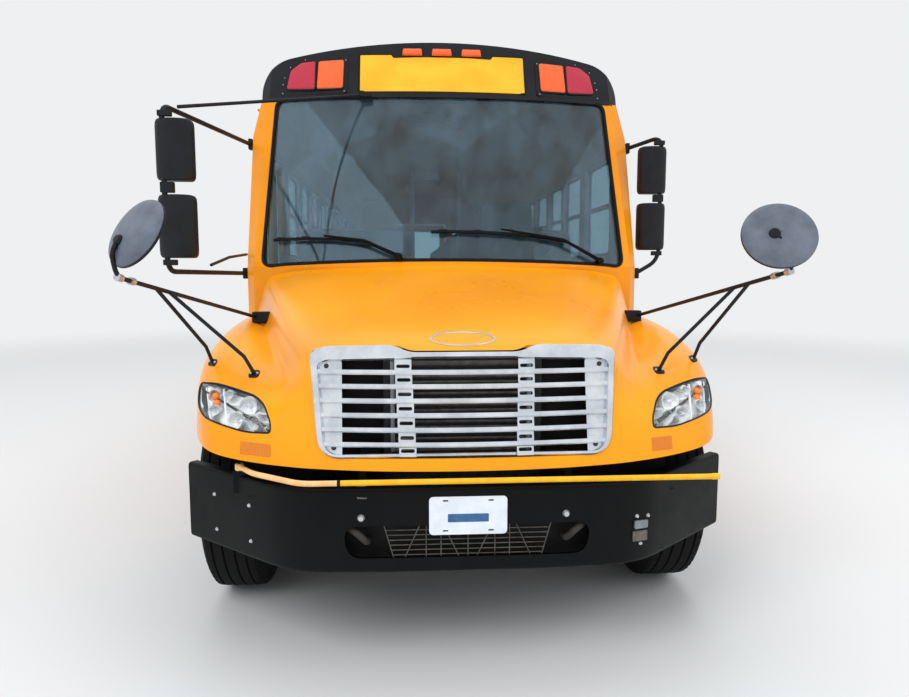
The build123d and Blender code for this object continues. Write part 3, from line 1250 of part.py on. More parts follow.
# Entrance door, two leaves that open outwards
door_mid = (DOOR_FRONT_STATION + DOOR_REAR_STATION) / 2
DOOR_LEAVES = (("front", DOOR_FRONT_STATION, door_mid - LEAF_MEETING_GAP / 2),
               ("rear", door_mid + LEAF_MEETING_GAP / 2, DOOR_REAR_STATION))
for label, low, high in DOOR_LEAVES:
    with BuildPart() as leaf:
        outer = -BODY_HALF
        block((outer, outer + LEAF_THICKNESS), (at(low), at(high)), (DOOR_BOTTOM, DOOR_TOP))
        for sill, head in DOOR_GLASS:
            cut_block((outer - WALL, outer + WALL), (at(low + DOOR_RAIL), at(high - DOOR_RAIL)), (sill, head))
        hinge_y = door_hinge_y(label)
        for z in HINGE_ROWS:
            with Locations((ENTRANCE_HINGE_X, hinge_y, z)):
                Cylinder(HINGE_RADIUS, HINGE_LENGTH)
            reach = 30 if label == "front" else -30
            block((ENTRANCE_HINGE_X, outer), (hinge_y, hinge_y + reach),
                  (z - HINGE_LENGTH / 2, z + HINGE_LENGTH / 2))
    save("entrance_door_" + label, leaf)
    with BuildPart() as pane:
        for sill, head in DOOR_GLASS:
            near = outer + DOOR_GLASS_INSET
            length = (at(low + DOOR_RAIL) + SEAT_GAP, at(high - DOOR_RAIL) - SEAT_GAP)
            block((near, near + GLASS_THICKNESS), length, (sill + SEAT_GAP, head - SEAT_GAP))
    save("entrance_glass_" + label, pane)

with BuildPart() as emergency_door:
    emergency_inner = REAR_WALL_Y - WALL
    block((-EMERGENCY_HALF, EMERGENCY_HALF), (emergency_inner, REAR_WALL_Y),
          (EMERGENCY_BOTTOM, EMERGENCY_TOP))
    pane_half = EMERGENCY_HALF - EMERGENCY_STILE
    for sill, head in EMERGENCY_GLASS:
        cut_block((-pane_half, pane_half), (emergency_inner - WALL, REAR_WALL_Y + WALL), (sill, head))
    for z in EMERGENCY_HINGE_ROWS:
        with Locations((EMERGENCY_HINGE_X, REAR_WALL_Y + HINGE_OFFSET, z)):
            Cylinder(HINGE_RADIUS, HINGE_LENGTH)
        block((EMERGENCY_HALF - 30, EMERGENCY_HINGE_X), (REAR_WALL_Y, REAR_WALL_Y + HINGE_OFFSET),
              (z - HINGE_LENGTH / 2, z + HINGE_LENGTH / 2))
save("emergency_door", emergency_door)
with BuildPart() as emergency_glass:
    pane_face = REAR_WALL_Y - DOOR_GLASS_INSET
    for sill, head in EMERGENCY_GLASS:
        block((-pane_half + SEAT_GAP, pane_half - SEAT_GAP), (pane_face - GLASS_THICKNESS, pane_face),
              (sill + SEAT_GAP, head - SEAT_GAP))
save("emergency_glass", emergency_glass)

# Stop arm
with BuildPart() as stop_arm:
    with BuildSketch(alongside(STOP_X)):
        with Locations((at(STOP_STATION + 250), STOP_Z)):
            RegularPolygon(STOP_SIZE, 8, major_radius=False, rotation=22.5)
        with Locations((at(STOP_STATION + 40), STOP_Z)):
            Rectangle(80, STOP_KNUCKLE)
    extrude(amount=12)
    with Locations((STOP_X + 6, at(STOP_STATION), STOP_Z)):
        Cylinder(HINGE_RADIUS, STOP_KNUCKLE)
save("stop_arm", stop_arm)

# Roof hatch lids
for label, station in zip(("front", "rear"), HATCH_STATIONS):
    with BuildPart() as lid:
        size = HATCH_SIZE + 2 * HATCH_COLLAR
        with Locations((0, at(station), HATCH_BASE + HATCH_THICKNESS / 2)):
            Box(size, size, HATCH_THICKNESS)
        fillet(lid.edges().filter_by(Axis.Z), 50)
        fillet(lid.faces().sort_by(Axis.Z)[-1].edges(), 16)
        edge_y = at(station) - size / 2
        for x in HATCH_HINGE_PLACES:
            hatch_knuckle(x, edge_y, HINGE_LENGTH)
            block((x - HINGE_LENGTH / 2, x + HINGE_LENGTH / 2),
                  (edge_y - HINGE_OFFSET, edge_y + HINGE_OFFSET), (HATCH_HINGE_Z - 4, HATCH_HINGE_Z + 4))
    save("roof_hatch_" + label, lid)

# Seats: benches in pairs along the aisle, then the driver's


def seat_solid(x, width, y, z, depth, back, thickness):
    """A cushion with its sloping back, from its front edge at y and its underside at z."""
    with BuildSketch(alongside(x), mode=Mode.PRIVATE) as profile:
        with BuildLine():
            Polyline((y, z), (y + depth, z), (y + depth, z + 30), (y + depth + thickness, z + back),
                     (y + depth, z + back), (y + depth - thickness, z + BENCH_CUSHION - 20),
                     (y, z + BENCH_CUSHION), close=True)
        make_face()
    extrude(profile.sketch, amount=width)


with BuildPart() as seats:
    for side in (-1, 1):
        inner = side * AISLE_HALF
        outer = side * (BODY_HALF - WALL - SEAT_GAP - 2)
        for row in range(SEAT_ROWS):
            y = at(SEAT_FIRST + row * WINDOW_PITCH)
            seat_solid(inner, outer - inner, y, BENCH_Z, BENCH_DEPTH, BENCH_BACK, BACK_THICKNESS)
            for leg_y in (y + 40, y + BENCH_DEPTH - 60):
                block((side * BENCH_LEG_X[0], side * BENCH_LEG_X[1]), (leg_y, leg_y + 30),
                      (FLOOR_TOP, BENCH_Z))
    y = at(DRIVER_SEAT_STATION)
    seat_solid(DRIVER_SEAT_X, DRIVER_SEAT_WIDTH, y, DRIVER_SEAT_Z, 440.0, 780.0, 100.0)
    block((DRIVER_SEAT_X + 140, DRIVER_SEAT_X + 340), (y + 120, y + 320), (FLOOR_TOP, DRIVER_SEAT_Z))
save("seats", seats)

with BuildPart() as dashboard:
    dash_front = firewall_y + WALL + SEAT_GAP
    dash_half = BODY_HALF - WALL - SILL_WIDTH
    block((-dash_half, dash_half), (dash_front, at(DASH_BACK_STATION)), (FLOOR_TOP + 300, SCREEN_BASE_Z + 20))
    wheel_x, wheel_station, wheel_z = STEERING_CENTRE
    wheel_tilt = Plane(origin=(wheel_x, at(wheel_station), wheel_z), x_dir=(1, 0, 0), z_dir=(0, 0.5, 0.866))
    with BuildSketch(wheel_tilt.offset(-COLUMN_LENGTH)):
        Circle(COLUMN_RADIUS)
    extrude(amount=COLUMN_LENGTH)
    with BuildSketch(wheel_tilt.offset(-14)):
        Circle(STEERING_RADIUS)
        Circle(STEERING_RADIUS - STEERING_RIM, mode=Mode.SUBTRACT)
        Circle(STEERING_HUB)
        for turn in (90, 210, 330):
            with Locations(Location((0, 0), turn)):
                with Locations((STEERING_RADIUS / 2, 0)):
                    Rectangle(STEERING_RADIUS - STEERING_RIM, 34)
    extrude(amount=28)
    block((wheel_x - 40, wheel_x + 40), (at(2140), at(2260)), (FLOOR_TOP, SCREEN_BASE_Z - 60))
save("dashboard", dashboard)

with BuildPart() as fuel_tank:
    with BuildSketch(across(at(TANK_STATION))):
        with Locations((-RAIL_OUTER_X - SEAT_GAP - TANK_WIDTH / 2, TANK_CENTRE_Z)):
            RectangleRounded(TANK_WIDTH, TANK_HEIGHT, SILL_WIDTH)
    extrude(amount=-TANK_LENGTH)
save("fuel_tank", fuel_tank)

with BuildPart() as exhaust:
    with BuildSketch(across(at(MUFFLER_STATION))):
        with Locations((MUFFLER_X, MUFFLER_Z)):
            Circle(MUFFLER_RADIUS)
    extrude(amount=-MUFFLER_LENGTH)
    for station in (MUFFLER_STATION + 200, MUFFLER_STATION + 1200):
        block((RAIL_OUTER_X + SEAT_GAP, MUFFLER_X), (at(station), at(station) + 40),
              (MUFFLER_Z - 10, MUFFLER_Z + 60))
    tail_front = MUFFLER_STATION + MUFFLER_LENGTH - 100
    tail = [(MUFFLER_X, at(tail_front), MUFFLER_Z), (MUFFLER_X, at(6350), MUFFLER_Z),
            (720, at(6470), 455), (1190, at(6560), 455)]
    swept_tube(tail, (90, 90), TAILPIPE_RADIUS)
save("exhaust", exhaust)

# Warning lamps and sign panels, on skins that follow the front cap
lamp_skin_outer = nose_volume(-LAMP_PROUD)
lamp_skin_inner = nose_volume(-SEAT_GAP)
cap_front_y = at(SCREEN_BASE_MID)
cap_reach = CAP_BACK_STATION - SCREEN_BASE_MID
with BuildPart() as cap_lamp_prisms:
    with BuildSketch(across(cap_front_y)):
        with Locations(*WARNING_LAMPS):
            RectangleRounded(LAMP_WIDTH, LAMP_HEIGHT, LAMP_CORNER)
        with Locations(*MARKER_LAMPS):
            Rectangle(MARKER_WIDTH, MARKER_HEIGHT)
    extrude(amount=-cap_reach)
with BuildPart() as body_lamps:
    add(lamp_skin_outer)
    add(lamp_skin_inner, mode=Mode.SUBTRACT)
    add(cap_lamp_prisms.part, mode=Mode.INTERSECT)
    with BuildSketch(across(REAR_WALL_Y + SEAT_GAP)):
        with Locations(*REAR_WARNING_LAMPS):
            RectangleRounded(LAMP_WIDTH, LAMP_HEIGHT, LAMP_CORNER)
        with Locations(*TAIL_LAMPS):
            Circle(TAIL_LAMP_RADIUS)
    extrude(amount=-LAMP_PROUD)
save("body_lamps", body_lamps)

with BuildPart() as sign_prism:
    with BuildSketch(across(cap_front_y)):
        with Locations((0, FRONT_SIGN[0])):
            Rectangle(SIGN_WIDTH, FRONT_SIGN[1])
    extrude(amount=-cap_reach)
with BuildPart() as sign_panels:
    add(nose_volume(-SIGN_PROUD))
    add(lamp_skin_inner, mode=Mode.SUBTRACT)
    add(sign_prism.part, mode=Mode.INTERSECT)
    with BuildSketch(across(REAR_WALL_Y + SEAT_GAP)):
        with Locations((0, REAR_SIGN[0])):
            Rectangle(SIGN_WIDTH, REAR_SIGN[1])
    extrude(amount=-SIGN_PROUD)
save("sign_panels", sign_panels)
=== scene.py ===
import itertools
import math

import bmesh
import bpy
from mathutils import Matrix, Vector
from mathutils.bvhtree import BVHTree


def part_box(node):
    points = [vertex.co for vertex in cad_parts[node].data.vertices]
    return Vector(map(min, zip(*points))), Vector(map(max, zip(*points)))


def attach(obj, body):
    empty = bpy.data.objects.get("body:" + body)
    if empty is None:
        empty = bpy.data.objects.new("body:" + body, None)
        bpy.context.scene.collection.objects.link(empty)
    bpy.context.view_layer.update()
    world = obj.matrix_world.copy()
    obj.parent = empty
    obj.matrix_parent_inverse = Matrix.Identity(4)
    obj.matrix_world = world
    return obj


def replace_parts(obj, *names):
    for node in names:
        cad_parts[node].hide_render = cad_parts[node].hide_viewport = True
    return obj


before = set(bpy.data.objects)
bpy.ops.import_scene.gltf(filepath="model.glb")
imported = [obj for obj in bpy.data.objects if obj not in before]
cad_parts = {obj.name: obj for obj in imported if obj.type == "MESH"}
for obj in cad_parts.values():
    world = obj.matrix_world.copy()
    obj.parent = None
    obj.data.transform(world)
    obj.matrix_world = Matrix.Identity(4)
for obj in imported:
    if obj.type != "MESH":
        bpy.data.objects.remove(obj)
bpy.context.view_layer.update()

# Sizes are in millimetres and become metres as each mesh is made. +X is the bus's own left, the
# front faces -Y, and a station is a distance back from the middle of the front bumper's face.
MM = 0.001
FACE_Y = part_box("bumpers")[0].y / MM
SIDES = ((-1, "right"), (1, "left"))


def at(station):
    """Y of a station."""
    return FACE_Y + station


def low(name):
    """A node's lowest corner in millimetres."""
    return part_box(name)[0] / MM


def high(name):
    """A node's highest corner in millimetres."""
    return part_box(name)[1] / MM


def middle(name):
    """The middle of a node's box in millimetres."""
    return (low(name) + high(name)) / 2


def about(centre, half):
    """A (low, high) pair round a value."""
    return centre - half, centre + half


def turns(count, start=0.0):
    """Angles of equal steps round a circle."""
    return [start + 2 * math.pi * step / count for step in range(count)]


def with_neighbours(points, closed=False):
    """Each point between the one before and the one after; an open path's ends stand in for their own."""
    before = [points[-1] if closed else points[0]] + points[:-1]
    return zip(before, points, points[1:] + [points[0] if closed else points[-1]])


# Materials

def linear(code):
    """Linear colour from an sRGB hex code."""
    parts = [int(code[place:place + 2], 16) / 255 for place in (0, 2, 4)]
    return *(part / 12.92 if part <= 0.04045 else ((part + 0.055) / 1.055) ** 2.4 for part in parts), 1.0


def feed(tree, made, inputs):
    """Sets a node's inputs, or links those whose value is a socket."""
    for name, value in inputs.items():
        if isinstance(value, bpy.types.NodeSocket):
            tree.links.new(value, made.inputs[name])
        else:
            made.inputs[name].default_value = value


def node(tree, kind, inputs, out=0, **settings):
    """Adds a node with its inputs and settings, and gives one of its outputs."""
    made = tree.nodes.new(kind)
    for name, value in settings.items():
        setattr(made, name, value)
    feed(tree, made, inputs)
    return made.outputs[out]


def noise(tree, place, size, detail=5.0, roughness=0.6):
    """Noise with features of about a size."""
    return node(tree, "ShaderNodeTexNoise",
                {"Vector": place, "Scale": 1 / (size * MM), "Detail": detail, "Roughness": roughness})


def mapped(tree, value, source, result, kind="LINEAR"):
    """A value carried from one (low, high) range to another."""
    return node(tree, "ShaderNodeMapRange",
                {"Value": value, "From Min": source[0], "From Max": source[1], "To Min": result[0],
                 "To Max": result[1]}, interpolation_type=kind)


def bump(tree, height, distance, strength):
    """Relief from a height."""
    return node(tree, "ShaderNodeBump", {"Height": height, "Distance": distance * MM, "Strength": strength})


def arithmetic(tree, operation, first, second):
    """A sum or the like of two values."""
    return node(tree, "ShaderNodeMath", {0: first, 1: second}, operation=operation)


def start_material(name):
    """A new material with its tree, shader and Object coordinates."""
    material = bpy.data.materials.new(name)
    material.use_nodes = True
    tree = material.node_tree
    return material, tree, tree.nodes["Principled BSDF"], node(tree, "ShaderNodeTexCoord", {}, "Object")


def surface(name, tones, patch, roughness, grain, grain_height, metallic=0.0, coat=0.0, specular=0.5,
            spread=0.08, stops=(0.3, 0.7)):
    """A finish with tones that drift over patches, a fine grain in relief and uneven gloss."""
    material, tree, shader, place = start_material(name)
    patches = noise(tree, place, patch)
    colour = node(tree, "ShaderNodeValToRGB", {"Fac": patches})
    ramp = colour.node.color_ramp
    ramp.interpolation = "EASE"
    while len(ramp.elements) < len(stops):
        ramp.elements.new(0.5)
    for element, position, code in zip(ramp.elements, stops, tones.split()):
        element.position = position
        element.color = linear(code)
    relief = bump(tree, noise(tree, place, grain, 3.0), grain_height, 0.8)
    gloss = mapped(tree, patches, (0.25, 0.75), about(roughness, spread), "SMOOTHSTEP")
    feed(tree, shader, {"Base Color": colour, "Normal": relief, "Roughness": gloss, "Metallic": metallic,
                        "Coat Weight": coat, "Coat Roughness": 0.25, "Specular IOR Level": specular})
    return material


# Baked school-bus enamel on sheet steel: deep orange-yellow with a faint orange peel and road film
enamel = surface("baked_yellow_enamel", "E88A00 F49A06", 900, 0.38, 5, 0.06, coat=0.12, specular=0.25)
# The same enamel on the moulded glass-fibre hood, glossier and a little paler where it has chalked
hood_enamel = surface("enamel_on_glass_fibre", "F29600 FCA606", 1100, 0.3, 30, 0.05, coat=0.22, specular=0.28,
                      spread=0.04)
# Bare moulded inside of the hood, dark with road film
raw_fibre = surface("bare_glass_fibre", "191A1B 26272A", 200, 0.75, 6, 0.2, specular=0.2)
# Roof enamel, chalked by the sun
roof_enamel = surface("chalked_roof_enamel", "DE9006 EBA31C", 700, 0.5, 5, 0.08, specular=0.25)
# Black enamel on pressed steel: satin, greyed by dust and scuffs
black_enamel = surface("satin_black_enamel", "050607 0A0B0C 161718", 260, 0.5, 3, 0.06, specular=0.14,
                       stops=(0.35, 0.62, 0.85))
# Gloss black around the lamps of the front cap
cap_black = surface("gloss_black_enamel", "0B0C10 14161C", 300, 0.3, 4, 0.04, specular=0.3)
# Moulded black ABS of the mirrors, with a fine spark-eroded grain
black_abs = surface("grained_black_abs", "0E1014 191B20", 90, 0.5, 1.5, 0.08, specular=0.3)
# The same plastic on the backs of the crossview mirrors, grey with dust and sun
dusty_abs = surface("dusty_black_abs", "565C68 717885", 140, 0.42, 1.5, 0.06, specular=0.3)
# Frame paint under the bus, dull with road dirt
chassis_paint = surface("dull_chassis_paint", "0E0E0E 171614 2E2A25", 180, 0.7, 6, 0.3, specular=0.2,
                        stops=(0.3, 0.6, 0.8))
# Sand-cast iron with a coarse skin
cast_iron = surface("sand_cast_iron", "2B2A29 45403B", 60, 0.7, 3, 0.5, metallic=0.3)
# Chromed ABS of the grille, bright with a soft haze
chrome = surface("chromed_abs", "CBD2DA E9EDF2", 120, 0.2, 2, 0.02, metallic=0.85, spread=0.05)
# Vacuum-metallised inside of the headlamps
lamp_chrome = surface("metallised_reflector", "EEF1F4 FCFDFE", 60, 0.22, 3, 0.02, metallic=0.3, spread=0.05)
# Silvered mirror glass
mirror_glass = surface("silvered_mirror_glass", "C9CFD2 D6DBDE", 200, 0.05, 5, 0.0, metallic=1.0, spread=0.02)
# Extruded aluminium window frames, mill finish gone dull
aluminium = surface("dull_extruded_aluminium", "7E8184 9CA0A3", 80, 0.38, 1.5, 0.03, metallic=0.9)
# Zinc-plated bolts
zinc = surface("zinc_plated_steel", "B4B7BA D8DADC", 12, 0.3, 1, 0.03, metallic=0.8)
# Hot-dip galvanised wire, dull grey-brown with road dirt
dirty_wire = surface("galvanised_wire", "4E4A45 6E6A64", 40, 0.55, 2, 0.05, metallic=0.6)
# Aluminised exhaust steel, stained by heat
exhaust_steel = surface("aluminised_steel", "5A534C 87817A", 70, 0.5, 2, 0.1, metallic=0.7)
# Soft tyre rubber, grey with dust in the tread
tyre_rubber = surface("dusty_tyre_rubber", "0F0F0F 171717 2B2926", 50, 0.85, 2, 0.2, specular=0.18,
                      stops=(0.3, 0.6, 0.85))
# EPDM rubber of the gaskets and wiper blades
gasket_rubber = surface("epdm_rubber", "090909 121213", 40, 0.62, 1.5, 0.05, specular=0.22)
# Fluted rubber floor
floor_rubber = surface("ribbed_floor_rubber", "1B1C1D 2B2C2D", 150, 0.7, 4, 0.2)
# Moulded dashboard plastic
dash_abs = surface("grained_dash_abs", "1D1F23 2A2D31", 90, 0.6, 1.5, 0.1)
# Green vinyl on the benches, with a leather grain
bench_vinyl = surface("embossed_bench_vinyl", "27403A 35554C", 60, 0.46, 2.5, 0.25)
# White enamel of the blank plate, the blue strip on it, and the hatch lids' polyester
white_enamel = surface("white_enamel", "DFE6EE EDF2F7", 60, 0.35, 2, 0.03, specular=0.3)
blue_enamel = surface("blue_enamel", "2C5A8C 3D6E9E", 30, 0.4, 2, 0.03)
hatch_polyester = surface("white_polyester", "CFCDC4 DEDCD4", 200, 0.4, 3, 0.1)
# Pultruded glass-fibre rod in golden yellow, and its hooked end in faded peach paint
rod_yellow = surface("yellow_glass_fibre", "F2AE14 FAC02C", 40, 0.4, 1.5, 0.03, specular=0.3)
peach_paint = surface("faded_peach_paint", "F2B874 FBCB92", 40, 0.5, 1.5, 0.03, specular=0.3)
# Reflective sheeting, bright and smooth
sign_sheet = surface("yellow_sign_sheet", "F1AE14 F8BC27", 200, 0.4, 2, 0.05)
stop_sheet = surface("red_reflective_sheet", "A81218 C01A20", 60, 0.38, 2, 0.05)
silver_sheet = surface("silver_reflective_sheet", "C9CBCC DBDDDE", 40, 0.35, 1.5, 0.05)
tape_yellow = surface("yellow_reflective_tape", "F5D21C FBE03C", 40, 0.35, 1.5, 0.04)
# Radiator core: dark metal whose tone also holds painted shade for the deep gaps between its fins
radiator_core = surface("radiator_core", "202224 35383B", 30, 0.5, 2, 0.3, metallic=0.5)

LENS_RIB = 9


def lens(name, code, glow):
    """Tinted, ribbed polycarbonate in front of a lamp."""
    material, tree, shader, place = start_material(name)
    ribs = node(tree, "ShaderNodeTexWave",
                {"Vector": place, "Scale": 1 / (2 * LENS_RIB * MM * math.pi), "Distortion": 0.0}, "Fac",
                wave_type="BANDS", bands_direction="X")
    feed(tree, shader, {"Normal": bump(tree, ribs, 1.2, 0.7), "Base Color": linear(code), "Roughness": 0.12,
                        "IOR": 1.58, "Subsurface Weight": glow, "Subsurface Scale": 0.01})
    return material


red_lens = lens("red_polycarbonate", "B8203C", 0.3)
amber_lens = lens("amber_polycarbonate", "F06428", 0.35)
turn_lens = lens("amber_turn_polycarbonate", "F08A22", 0.3)
orange_reflector = lens("orange_reflector", "E67E00", 0.45)


def clear_sheet(name, code, roughness, ior):
    """Glass or clear plastic, tinted through its thickness."""
    material, tree, shader, place = start_material(name)
    haze = mapped(tree, noise(tree, place, 60, 4.0), (0.4, 0.8), (roughness, roughness + 0.04))
    feed(tree, shader, {"Roughness": haze, "Base Color": linear(code), "IOR": ior,
                        "Transmission Weight": 1.0})
    return material


# Toughened side glass, faintly green, with water marks, and the headlamps' covers
window_glass = clear_sheet("green_tinted_glass", "C8D8D2", 0.0, 1.5)
lamp_cover = clear_sheet("clear_polycarbonate", "F4F6F6", 0.02, 1.5)

# Lamp light passes the clear covers, which their refracting shader alone would hold back
cover_tree = lamp_cover.node_tree
shadow_ray = node(cover_tree, "ShaderNodeLightPath", {}, "Is Shadow Ray")
open_way = node(cover_tree, "ShaderNodeBsdfTransparent", {})
cover_mix = node(cover_tree, "ShaderNodeMixShader",
                 {0: shadow_ray, 1: cover_tree.nodes["Principled BSDF"].outputs["BSDF"], 2: open_way})
feed(cover_tree, cover_tree.nodes["Material Output"], {"Surface": cover_mix})

# Wipers' pivots, across and height, and how far their blades reach
WIPER_PIVOTS = ((-281, 1690), (941, 1668))
WIPER_REACHES = (770, 1050)
SWEEP_EDGE = 14


def dusty_screen(name, code):
    """Laminated glass under a dust film, which the two wipers have cleared in arcs about their pivots."""
    material, tree, shader, place = start_material(name)
    parts = node(tree, "ShaderNodeSeparateXYZ", {"Vector": place}).node.outputs
    flat = node(tree, "ShaderNodeCombineXYZ", {"X": parts["X"], "Y": parts["Z"]})
    swept = []
    for pivot, reach in zip(WIPER_PIVOTS, WIPER_REACHES):
        gap = node(tree, "ShaderNodeVectorMath", {0: flat, 1: (pivot[0] * MM, pivot[1] * MM, 0.0)}, "Value",
                   operation="DISTANCE")
        swept.append(mapped(tree, gap, (reach * MM, (reach + SWEEP_EDGE) * MM), (1.0, 0.0), "SMOOTHSTEP"))
    cleared = arithmetic(tree, "MAXIMUM", *swept)
    stretched = node(tree, "ShaderNodeMapping", {"Vector": place, "Scale": (1.0, 1.0, 0.45)})
    film = mapped(tree, noise(tree, stretched, 170, 7.0, 0.62), (0.32, 0.70), (0.02, 0.17))
    hidden = arithmetic(tree, "MULTIPLY", film, mapped(tree, cleared, (0.0, 1.0), (1.0, 0.72)))
    feed(tree, shader, {"Base Color": linear(code), "IOR": 1.5, "Roughness": 0.02,
                        "Transmission Weight": arithmetic(tree, "SUBTRACT", 1.0, hidden)})
    return material


screen_glass = dusty_screen("dusty_laminated_glass", "8CB0C6")

for finish, names in (
        (enamel, "front_frame side_wall_left side_wall_right rear_wall emergency_door entrance_door_front "
                 "entrance_door_rear"),
        (hood_enamel, "hood"), (roof_enamel, "roof roof_panel_front roof_panel_rear"),
        (black_enamel, "bumpers rub_rails wheel_front_left wheel_front_right wheel_rear_left "
                       "wheel_rear_right"),
        (cap_black, "front_cap"), (black_abs, "side_mirrors crossview_mirrors"),
        (chassis_paint, "chassis_frame front_axle rear_axle tie_rod fuel_tank"),
        (cast_iron, "engine knuckle_left knuckle_right"), (chrome, "grille"), (radiator_core, "radiator"),
        (exhaust_steel, "exhaust"),
        (tyre_rubber, "tyre_front_left tyre_front_right tyres_rear_left tyres_rear_right"),
        (floor_rubber, "floor floor_wells"), (dash_abs, "dashboard"), (bench_vinyl, "seats"),
        (white_enamel, "number_plate"), (hatch_polyester, "roof_hatch_front roof_hatch_rear"),
        (rod_yellow, "crossing_arm"), (sign_sheet, "sign_panels"), (stop_sheet, "stop_arm"),
        (amber_lens, "body_lamps"), (lamp_cover, "headlamps"), (screen_glass, "windshield"),
        (window_glass, "windows entrance_glass_front entrance_glass_rear emergency_glass")):
    for name in names.split():
        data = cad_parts[name].data
        data.materials.clear()
        data.materials.append(finish)


# Mesh making

def add_object(name, data):
    """An object of some data, in the scene."""
    made = bpy.data.objects.new(name, data)
    bpy.context.scene.collection.objects.link(made)
    return made


def plain_object(name, form):
    """A mesh object of a form, in the form's own unit."""
    data = bpy.data.meshes.new(name)
    form.to_mesh(data)
    form.free()
    return add_object(name, data)


def modify(made, name, kind, **settings):
    """Adds a modifier with its settings."""
    modifier = made.modifiers.new(name, kind)
    for key, value in settings.items():
        setattr(modifier, key, value)
    return modifier


def evaluated(made):
    """The mesh of an object with its modifiers applied."""
    return bpy.data.meshes.new_from_object(made.evaluated_get(bpy.context.evaluated_depsgraph_get()))


def piece(name, form, material, body, slot_name, sharp=32.0):
    """Turns a form in millimetres into a piece that rides on a body."""
    bmesh.ops.remove_doubles(form, verts=form.verts, dist=0.01)
    bmesh.ops.recalc_face_normals(form, faces=form.faces)
    for face in form.faces:
        face.smooth = True
    for edge in form.edges:
        if len(edge.link_faces) == 2 and edge.calc_face_angle(0) > math.radians(sharp):
            edge.smooth = False
    bmesh.ops.scale(form, vec=(MM, MM, MM), verts=form.verts)
    made = plain_object(name, form)
    made.data.materials.append(material)
    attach(made, body)
    return made


def loft(form, loops, joined=False):
    """Joins loops of points, one to the next, and closes the two ends or the last to the first."""
    rows = [[form.verts.new(point) for point in loop] for loop in loops]
    for near, far in zip(rows, rows[1:] + rows[:1] if joined else rows[1:]):
        for place in range(len(near)):
            after = (place + 1) % len(near)
            form.faces.new((near[place], near[after], far[after], far[place]))
    if not joined:
        form.faces.new(rows[0])
        form.faces.new(rows[-1][::-1])


def ellipse(centre, half_width, half_height, steps, start=0.0):
    """An ellipse's outline."""
    return [Vector((centre[0] + half_width * math.cos(angle), centre[1] + half_height * math.sin(angle)))
            for angle in turns(steps, start)]


def circle(centre, way, radius, sides):
    """Points of a circle that faces a way."""
    turn = Vector(way).normalized().to_track_quat("Z", "Y")
    return [Vector(centre) + turn @ point.to_3d() for point in ellipse((0, 0), radius, radius, sides)]


def turned(form, centre, way, rings, sides):
    """A solid about an axis from (along, radius) rings."""
    way = Vector(way).normalized()
    loft(form, [circle(Vector(centre) + way * along, way, radius, sides) for along, radius in rings])


def rod(form, start, end, radius, sides=14):
    """A round bar between two points."""
    way = Vector(end) - Vector(start)
    loft(form, [circle(start, way, radius, sides), circle(end, way, radius, sides)])


def tube(form, path, radius, sides=12):
    """A round bar along a path of points."""
    loops = []
    spin = last = None
    for before, point, after in with_neighbours([Vector(point) for point in path]):
        way = (after - before).normalized()
        spin = last.rotation_difference(way) @ spin if last else way.to_track_quat("Z", "Y")
        last = way
        loops.append([point + spin @ spot.to_3d() for spot in ellipse((0, 0), radius, radius, sides)])
    loft(form, loops)


def lathe(form, centre, way, profile, steps=48):
    """A ring about an axis from a closed profile of (along, radius) points."""
    turn = Vector(way).normalized().to_track_quat("Z", "Y")
    loft(form, [[Vector(centre) + turn @ Vector((radius * math.cos(angle), radius * math.sin(angle), along))
                 for along, radius in profile] for angle in turns(steps)], joined=True)


def ribbon(form, points, ups, width, height):
    """A bar of rectangular section along points, standing up from its lower face."""
    loops = []
    for (before, point, after), up in zip(with_neighbours(points), ups):
        side = (after - before).cross(up).normalized() * width / 2
        rise = up.normalized() * height
        loops.append([point - side, point + side, point + side + rise, point - side + rise])
    loft(form, loops)


def rounded(width, height, radius, centre=(0.0, 0.0), steps=5):
    """A rectangle's outline with round corners."""
    outline = []
    for quarter, (way_x, way_y) in enumerate(((1, 1), (-1, 1), (-1, -1), (1, -1))):
        for step in range(steps + 1):
            angle = math.pi / 2 * (quarter + step / steps)
            outline.append(Vector((centre[0] + way_x * (width / 2 - radius) + radius * math.cos(angle),
                                   centre[1] + way_y * (height / 2 - radius) + radius * math.sin(angle))))
    return outline


def corner_points(before, corner, after, reach, steps):
    """Points of a smooth bend that starts and ends at a reach from its corner."""
    start, end = [corner + (far - corner).normalized() * reach for far in (before, after)]
    return [start.lerp(corner, step / steps).lerp(corner.lerp(end, step / steps), step / steps)
            for step in range(steps + 1)]


def round_corners(points, radius, steps=6):
    """A flat outline with each corner rounded."""
    outline = []
    for before, corner, after in with_neighbours([Vector(point) for point in points], True):
        reach = min(radius, (before - corner).length * 0.45, (after - corner).length * 0.45)
        outline += corner_points(before, corner, after, reach, steps)
    return outline


def eased(points, reaches, steps=8):
    """An open path with each inner corner rounded over its reach."""
    points = [Vector(point) for point in points]
    path = [points[0]]
    for before, corner, after, reach in zip(points, points[1:], points[2:], reaches):
        path += corner_points(before, corner, after, reach, steps)
    return path + [points[-1]]


def mirrored(outline, side):
    """An outline for the left or right side."""
    return [(side * x, z) for x, z in outline]


def shrunk(outline, amount):
    """An outline moved in by an amount along its corners' middle lines."""
    points = [Vector(point) for point in outline]
    area = sum(a.x * b.y - a.y * b.x for a, b in zip(points, points[1:] + points[:1]))
    moved = []
    for before, point, after in with_neighbours(points, True):
        way = (point - before).normalized() + (after - point).normalized()
        inward = Vector((-way.y, way.x)) * (1.0 if area > 0 else -1.0)
        moved.append(point + inward.normalized() * amount / max(0.5, inward.length / 2))
    return moved


def over(place, outlines):
    """Loops of points over a surface from (outline, lift) pairs."""
    return [[place(u, v, lift) for u, v in line] for line, lift in outlines]


